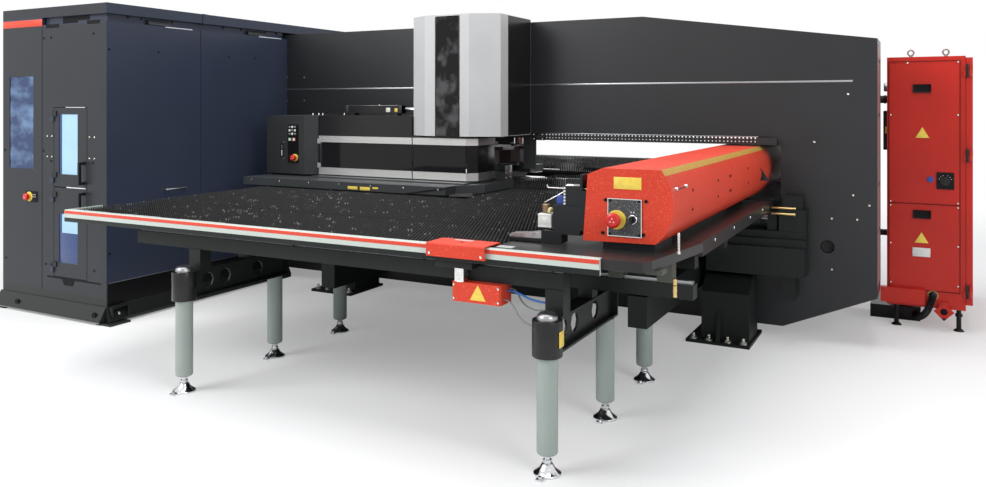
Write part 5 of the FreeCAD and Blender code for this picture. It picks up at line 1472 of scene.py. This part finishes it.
# %% Small parts of the three clamps
clamp_ys = (-2.885, -2.120, -1.355)
clamp_body = "cross_saddle"
terminal_spots = [(1.6130, y - 0.030, 1.118 + 0.0142 * i) for y in clamp_ys for i in range(6)]
screws("terminal_screws", terminal_spots, "y", 0.0052, 0.0024, clamp_body, valve_white)
shelf_plates = []
levers = []
blue_parts = []
for y in clamp_ys:
    sheet = block("sheet", (1.616, y - 0.027, 1.1985), (1.690, y + 0.027, 1.2010))
    pick_faces(sheet, lambda face: face.normal.z > 0.9)
    bpy.ops.mesh.inset(thickness=0.006, depth=0.0)
    bpy.ops.mesh.extrude_region_move(TRANSFORM_OT_translate={"value": (0.0, 0.0, 0.012)})
    bpy.ops.object.mode_set(mode="OBJECT")
    shelf_plates.append(soften(sheet, 0.002))
    lever = block("lever", (1.520, y - 0.008, 1.1820), (1.612, y + 0.008, 1.1860))
    pick_faces(lever, lambda face: face.normal.x < -0.9)
    bpy.ops.mesh.extrude_region_move(TRANSFORM_OT_translate={"value": (-0.006, 0.0, 0.012)})
    bpy.ops.object.mode_set(mode="OBJECT")
    levers.append(soften(lever, 0.0012))
    blue_parts.append(soften(block("blue", (1.568, y - 0.022, 1.112), (1.606, y - 0.004, 1.152)),
                             0.003))
finish_piece(joined("shelf_plates", shelf_plates), clamp_body, bright_sheet)
finish_piece(joined("clamp_levers", levers), clamp_body, bright_sheet)
finish_piece(joined("blue_parts", blue_parts), clamp_body, button_blue)
print("clamps dressed", len(clamp_ys))

# %% Valve of the first clamp
valve_y = -2.885
core = soften(block("valve_core", (1.482, valve_y - 0.036, 1.0020),
                    (1.548, valve_y + 0.036, 1.0660)), 0.004, 3)
ribs = [soften(block("rib", (1.4815, valve_y - 0.0365, z), (1.5485, valve_y + 0.0365, z + 0.010)),
               0.0025) for z in (1.0030, 1.0540)]
face_plate = soften(block("face", (1.496, valve_y - 0.0370, 1.018),
                          (1.534, valve_y - 0.0355, 1.050)), 0.0005)
finish_piece(joined("valve_block", [core, face_plate] + ribs), clamp_body, valve_white)
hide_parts("clamp_valve")
knob = raise_rings(disc("valve_knob", (1.508, valve_y, 1.0850), 0.0185, 0.038, "z", 20),
                   ((0.002, 0.002), (0.004, 0.002)))
collar_low = soften(disc("collar", (1.508, valve_y, 1.0680), 0.0150, 0.006, "z", 20), 0.001)
finish_piece(joined("valve_knob", [knob, collar_low]), clamp_body, clamp_brown)
ball = raise_rings(disc("ball", (1.536, valve_y - 0.012, 1.0800), 0.0120, 0.016, "z", 20),
                   ((0.003, 0.004), (0.004, 0.002)))
nose = soften(disc("nose", (1.536, valve_y - 0.027, 1.0780), 0.0080, 0.016, "y", 16), 0.002)
finish_piece(joined("valve_fitting", [ball, nose]), clamp_body, valve_cream)
arm = disc("arm", (0.0, 0.0, 0.0), 0.0030, 0.124, "z", 12)
arm.data.transform(Matrix.Translation((1.5555, valve_y,
                                       1.1440)) @ Matrix.Rotation(math.radians(61.7), 4, "Y"))
finish_piece(soften(arm, 0.0005), clamp_body, chrome_steel)
print("valve ready")

# %% [markdown]
# ### Pipes between the terminal box and the cover
# Thin golden pipes run from the first terminal box into the cover. They are stiff, so
# each is one bar that is bent by bending its points, with its ends in what it joins.

# %% Golden pipes
pipes = []
for i in range(4):
    high = 1.186 - 0.018 * i
    pipe = disc("pipe", (0.0, 0.0, 0.0), 0.0026, 0.001, "x", 10)
    pipe.data.transform(Matrix.Translation((1.690, valve_y - 0.016 + 0.003 * i, high)))
    for dx, dz in ((0.012, 0.002), (0.012, -0.003), (0.010, -0.008), (0.008, -0.012),
                   (0.006, -0.016)):
        end = max(vertex.co.x for vertex in pipe.data.vertices)
        pick_faces(pipe, lambda face: face.calc_center_median().x > end - 0.0002 and face.normal.x > 0.5)
        bpy.ops.mesh.extrude_region_move(TRANSFORM_OT_translate={"value": (dx, 0.0, dz)})
        bpy.ops.object.mode_set(mode="OBJECT")
    pipes.append(pipe)
golden_pipes = joined("golden_pipes", pipes)
bpy.ops.object.shade_smooth_by_angle(angle=math.radians(50.0))
finish_piece(golden_pipes, clamp_body, bearing_brass)
print("pipes", len(pipes))

# %% [markdown]
# ## The locator and the junction box
# A red hood sits on the table edge. Under it hangs a bright air cylinder, and below
# that the red junction box with a plain yellow plate.

# %% Cylinder and bracket of the locator
barrel = block("locator_body", (1.1728, -3.1505, 0.7660), (1.2192, -3.1022, 0.8262))
pick_faces(barrel, lambda face: face.normal.y < -0.9)
bpy.ops.mesh.subdivide(number_cuts=3)
bpy.ops.object.mode_set(mode="OBJECT")
for x in (1.1846, 1.2074):
    pick_faces(barrel, lambda face: face.normal.y < -0.9 and abs(face.calc_center_median().x - x) < 0.006)
    bpy.ops.mesh.inset(thickness=0.002, depth=-0.0020)
    bpy.ops.object.mode_set(mode="OBJECT")
finish_piece(soften(barrel, 0.0008), "carriage", bright_sheet)
bracket = soften(block("locator_bracket", (1.0692, -3.1508, 0.8256), (1.2628, -3.0992, 0.8638)),
                 0.002)
finish_piece(bracket, "carriage", stand_paint)
hood_label = soften(block("hood_label", (1.137, -3.092, 0.9418), (1.231, -3.070, 0.9430)), 0.0004,
                    1)
finish_piece(hood_label, "carriage", pale_cover)
hood_screws = [(x, -3.206, z) for x in (1.072, 1.338) for z in (0.898,)]
screws("hood_screws", hood_screws, "y", 0.006, 0.003, "carriage")
badge = disc("junction_plate", (1.290, -3.1456, 0.7120), 0.047, 0.0016, "y", 3)
finish_piece(soften(badge, 0.0005), "machine", label_yellow)
screws("junction_screws", [(x, -3.145, z) for x in (1.166, 1.392) for z in (0.690, 0.752)], "y",
       0.005, 0.003)
print("locator dressed")

# %% Plain yellow plate on the corner post
plate("post_plate", (1.7065, -3.196, 0.545), (1.7090, -3.148, 0.612), label_yellow)
screws("post_screws", [(1.7090, -3.172, 0.552), (1.7090, -3.172, 0.605)], "x", 0.004, 0.002)
print("post plate ready")

# %% Bright sheets on the rear table
sheets = [soften(block("sheet", low, high), 0.0008) for low, high in (
    ((-0.439, 0.645, 0.9302), (-0.182, 0.799, 0.9330)),
    ((-0.381, 1.058, 0.9302), (-0.141, 1.126, 0.9330)))]
for sheet in sheets:
    sink(sheet, lambda face: face.normal.z > 0.9, 0.006, 0.0005)
finish_piece(joined("cut_sheets", sheets), "machine", bright_sheet)
print("sheets", len(sheets))

# %% [markdown]
# ## The electrical cabinet
# Two screwed panels with cup handles, a black main switch, plain round and square plates
# where the real cabinet has signs, strap hinges and a corrugated hose to the floor.

# %% Screws and plates of the cabinet
panel_y2 = 0.111
cabinet_spots = [(2.943, 1.862), (3.253, 1.862), (2.838, 1.497), (3.253, 1.497), (2.838, 0.886),
                 (3.253, 0.890),
                 (2.838, 0.858), (3.253, 0.860), (2.838, 0.591), (3.253, 0.594), (2.838, 0.315),
                 (3.253, 0.321)]
screws("cabinet_screws", [(x, panel_y2, z) for x, z in cabinet_spots], "y", 0.0055, 0.003)
for name, x, z in (("upper_sign_plate", 3.034, 1.360), ("lower_sign_plate", 3.029, 0.627)):
    badge = disc(name, (x, panel_y2 - 0.0006, z), 0.050, 0.0016, "y", 3)
    finish_piece(soften(badge, 0.0005), "machine", label_yellow)
round_badge = disc("round_plate", (3.083, panel_y2 - 0.0006, 1.047), 0.021, 0.0016, "y", 32)
finish_piece(soften(round_badge, 0.0005), "machine", button_blue)
on_front("white_plate", 2.973, 3.084, 0.506, 0.568, panel_y2, valve_white)
print("cabinet screws", len(cabinet_spots))

# %% Cup handles
for name, z0, z1 in (("lower_cup", 0.774, 0.828), ("upper_cup", 1.653, 1.707)):
    cup = block(name, (2.976, panel_y2 - 0.0075, z0 - 0.002),
                (3.088, panel_y2 + 0.0005, z1 + 0.002))
    sink(cup, lambda face: face.normal.y < -0.9, 0.008, 0.006)
    finish_piece(soften(cup, 0.002), "machine", gap_black)
print("cup handles ready")

# %% Main switch
switch_plate = block("switch_plate", (3.121, 0.1085, 0.982), (3.229, 0.1115, 1.099))
sink(switch_plate, lambda face: face.normal.y < -0.9, 0.005, 0.0008)
finish_piece(soften(switch_plate, 0.0008), "machine", panel_black)
scale_marks = []
for turn in (20.0, 45.0, 70.0, 110.0, 135.0, 160.0):
    away = math.radians(turn)
    mark = block("mark", (0.0365, -0.0006, -0.0016), (0.0425, 0.0006, 0.0016))
    mark.data.transform(Matrix.Translation((3.175, 0.1090, 1.040)) @ Matrix.Rotation(-away, 4, "Y"))
    scale_marks.append(mark)
finish_piece(joined("switch_scale", scale_marks), "machine", valve_white)
print("switch marks", len(scale_marks))

# %% Hinges of the side door
leaves = []
for z in (0.250, 1.180, 1.760):
    leaf = block("leaf", (3.2985, 0.0975, z - 0.006), (3.3145, 0.1010, z + 0.086))
    leaves.append(soften(leaf, 0.001))
finish_piece(joined("hinge_leaves", leaves), "machine", knob_black)
print("hinge leaves", len(leaves))

# %% Seam between the cabinet and its door
seam = block("door_seam", (3.2965, 0.0985, 0.200), (3.2995, 0.1003, 1.885))
finish_piece(soften(seam, 0.0003, 1), "machine", gap_black)
print("seam ready")


# %% [markdown]
# The end of the frame shows a strip of primed steel with a few tapped holes.

# %% Primed strip at the end of the frame
plate("frame_end_strip", (2.7846, -0.583, 0.400), (2.7862, -0.300, 1.950), end_primer)
screws("frame_end_holes", [(2.7862, y, z) for y in (-0.520, -0.380) for z in (0.75, 1.05, 1.50,
        1.85)], "x", 0.012, 0.0015, material=gap_black)
print("end strip ready")


# %% Seams round the front panels
seams = [block("seam", (2.8245, 0.1102, 0.8715), (3.2645, 0.1115, 0.8745))]
seams.append(block("seam", (3.2625, 0.1102, 0.274), (3.2650, 0.1165, 1.871)))
seams.append(block("seam", (2.8245, 0.1102, 0.274), (2.8262, 0.1165, 1.871)))
seams.append(block("seam", (2.8245, 0.1102, 1.8695), (3.2650, 0.1165, 1.8715)))
seams.append(block("seam", (2.8245, 0.1102, 0.2725), (3.2650, 0.1165, 0.2745)))
finish_piece(joined("panel_seams", seams), "machine", gap_black)
print("seams", len(seams))

# %% Feet, lug and ring of the hose
sleeves = []
for x in (2.870, 3.258):
    for y in (0.180, 1.360):
        sleeves.append(soften(disc("sleeve", (x, y, 0.095), 0.0155, 0.160, "z", 24), 0.001))
        sleeves.append(soften(disc("foot", (x, y, 0.0075), 0.0360, 0.015, "z", 32, 0.022), 0.002))
        sleeves.append(soften(disc("nut", (x, y, 0.110), 0.026, 0.018, "z", 6), 0.002))
finish_piece(joined("cabinet_feet", sleeves), "machine", hose_black)
lug_hole = soften(disc("lug_hole", (3.166, 0.0925, 0.141), 0.0245, 0.010, "y", 32), 0.001)
finish_piece(lug_hole, "machine", gap_black)
hose_ring = disc("hose_ring", (3.100, 0.1135, 0.244), 0.0330, 0.006, "y", 40)
sink(hose_ring, lambda face: face.normal.y < -0.9, 0.006, 0.002)
finish_piece(soften(hose_ring, 0.001), "machine", bearing_brass)
print("feet dressed")

# %% Brass pipes along the drive unit
pipes = []
for y, z in ((-0.7085, 0.8872), (-0.7290, 0.8520)):
    pipes.append(soften(disc("pipe", (2.234, y, z), 0.0075, 0.152, "x", 20), 0.0012))
    pipes.append(soften(disc("pipe_nut", (2.302, y, z), 0.0095, 0.014, "x", 6), 0.0012))
finish_piece(joined("drive_pipes", pipes), "machine", bearing_brass)
print("drive pipes", len(pipes))

# %% [markdown]
# ## The hose and the links behind the cabinet
# A corrugated hose leaves the front of the cabinet through a brass ring and goes back
# under it. The rings of the hose are one more profile along the same smooth curve.

# %% Corrugated hose
hose_way = [(3.100, 0.1195, 0.244), (3.100, 0.062, 0.244), (3.060, 0.062, 0.120),
            (2.990, 0.200, 0.050), (2.990, 0.3395, 0.050)]
hose_r = 0.024
guide = bpy.data.curves.new("hose_line", "CURVE")
guide.dimensions = "3D"
line = guide.splines.new("NURBS")
line.points.add(len(hose_way) - 1)
for point, place in zip(line.points, hose_way):
    point.co = (*place, 1.0)
line.order_u = 3
line.use_endpoint_u = True
line.resolution_u = 40
carrier = bpy.data.objects.new("hose_line", guide)
bpy.context.scene.collection.objects.link(carrier)
bpy.context.view_layer.update()
track = [vertex.co.copy() for vertex in bpy.data.meshes.new_from_object(carrier).vertices]
bpy.data.objects.remove(carrier, do_unlink=True)

# %% Rings of the hose
rings_of_hose = []
pitch = 0.0075
gone = 0.0
travelled = 0.0
for a, b in zip(track, track[1:]):
    travelled += (b - a).length
    if travelled < gone:
        continue
    gone += pitch
    ring = disc("ring", (0.0, 0.0, 0.0), hose_r * 0.86, pitch, "z", 18)
    pick_faces(ring, lambda face: abs(face.normal.z) < 0.5)
    bpy.ops.mesh.subdivide(number_cuts=1)
    bpy.ops.mesh.select_all(action="DESELECT")
    shape = bmesh.from_edit_mesh(ring.data)
    for vertex in shape.verts:
        vertex.select = abs(vertex.co.z) < pitch * 0.2
    shape.select_flush_mode()
    bmesh.update_edit_mesh(ring.data)
    bpy.ops.transform.resize(value=(1.15, 1.15, 1.0), center_override=(0.0, 0.0, 0.0))
    bpy.ops.object.mode_set(mode="OBJECT")
    way = (b - a).to_track_quat("Z", "Y").to_matrix().to_4x4()
    ring.data.transform(Matrix.Translation(b) @ way)
    rings_of_hose.append(ring)
floor_hose = joined("floor_hose", rings_of_hose)
bpy.ops.object.shade_smooth_by_angle(angle=math.radians(60.0))
finish_piece(floor_hose, "machine", hose_black)
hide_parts("cabinet_hoses")
print("rings", len(rings_of_hose))

# %% Links between frame and cabinet
arm = soften(disc("arm", (2.768, 0.200, 1.605), 0.027, 0.085, "x", 28), 0.002)
arm_ring = soften(disc("ring", (2.7960, 0.200, 1.605), 0.0310, 0.012, "x", 28), 0.002)
low_rod = soften(disc("rod", (2.768, 0.260, 0.640), 0.022, 0.085, "x", 28), 0.002)
linked = [arm, arm_ring, low_rod]
link_boxes = (((2.7855, 0.150, 1.244), (2.8255, 0.330, 1.523)),)
for low, high in link_boxes:
    linked.append(soften(block("box", low, high), 0.006, 3))
cabinet_links = joined("cabinet_links", linked)
finish_piece(cabinet_links, "machine", hose_black)
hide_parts("cabinet_hoses")
on_front("link_tag", 2.798, 2.812, 1.360, 1.410, 0.150, label_yellow)
upper_link = soften(disc("upper_link", (2.806, 0.240, 1.692), 0.030, 0.040, "x", 28), 0.004)
finish_piece(upper_link, "machine", rail_silver)
print("links ready")
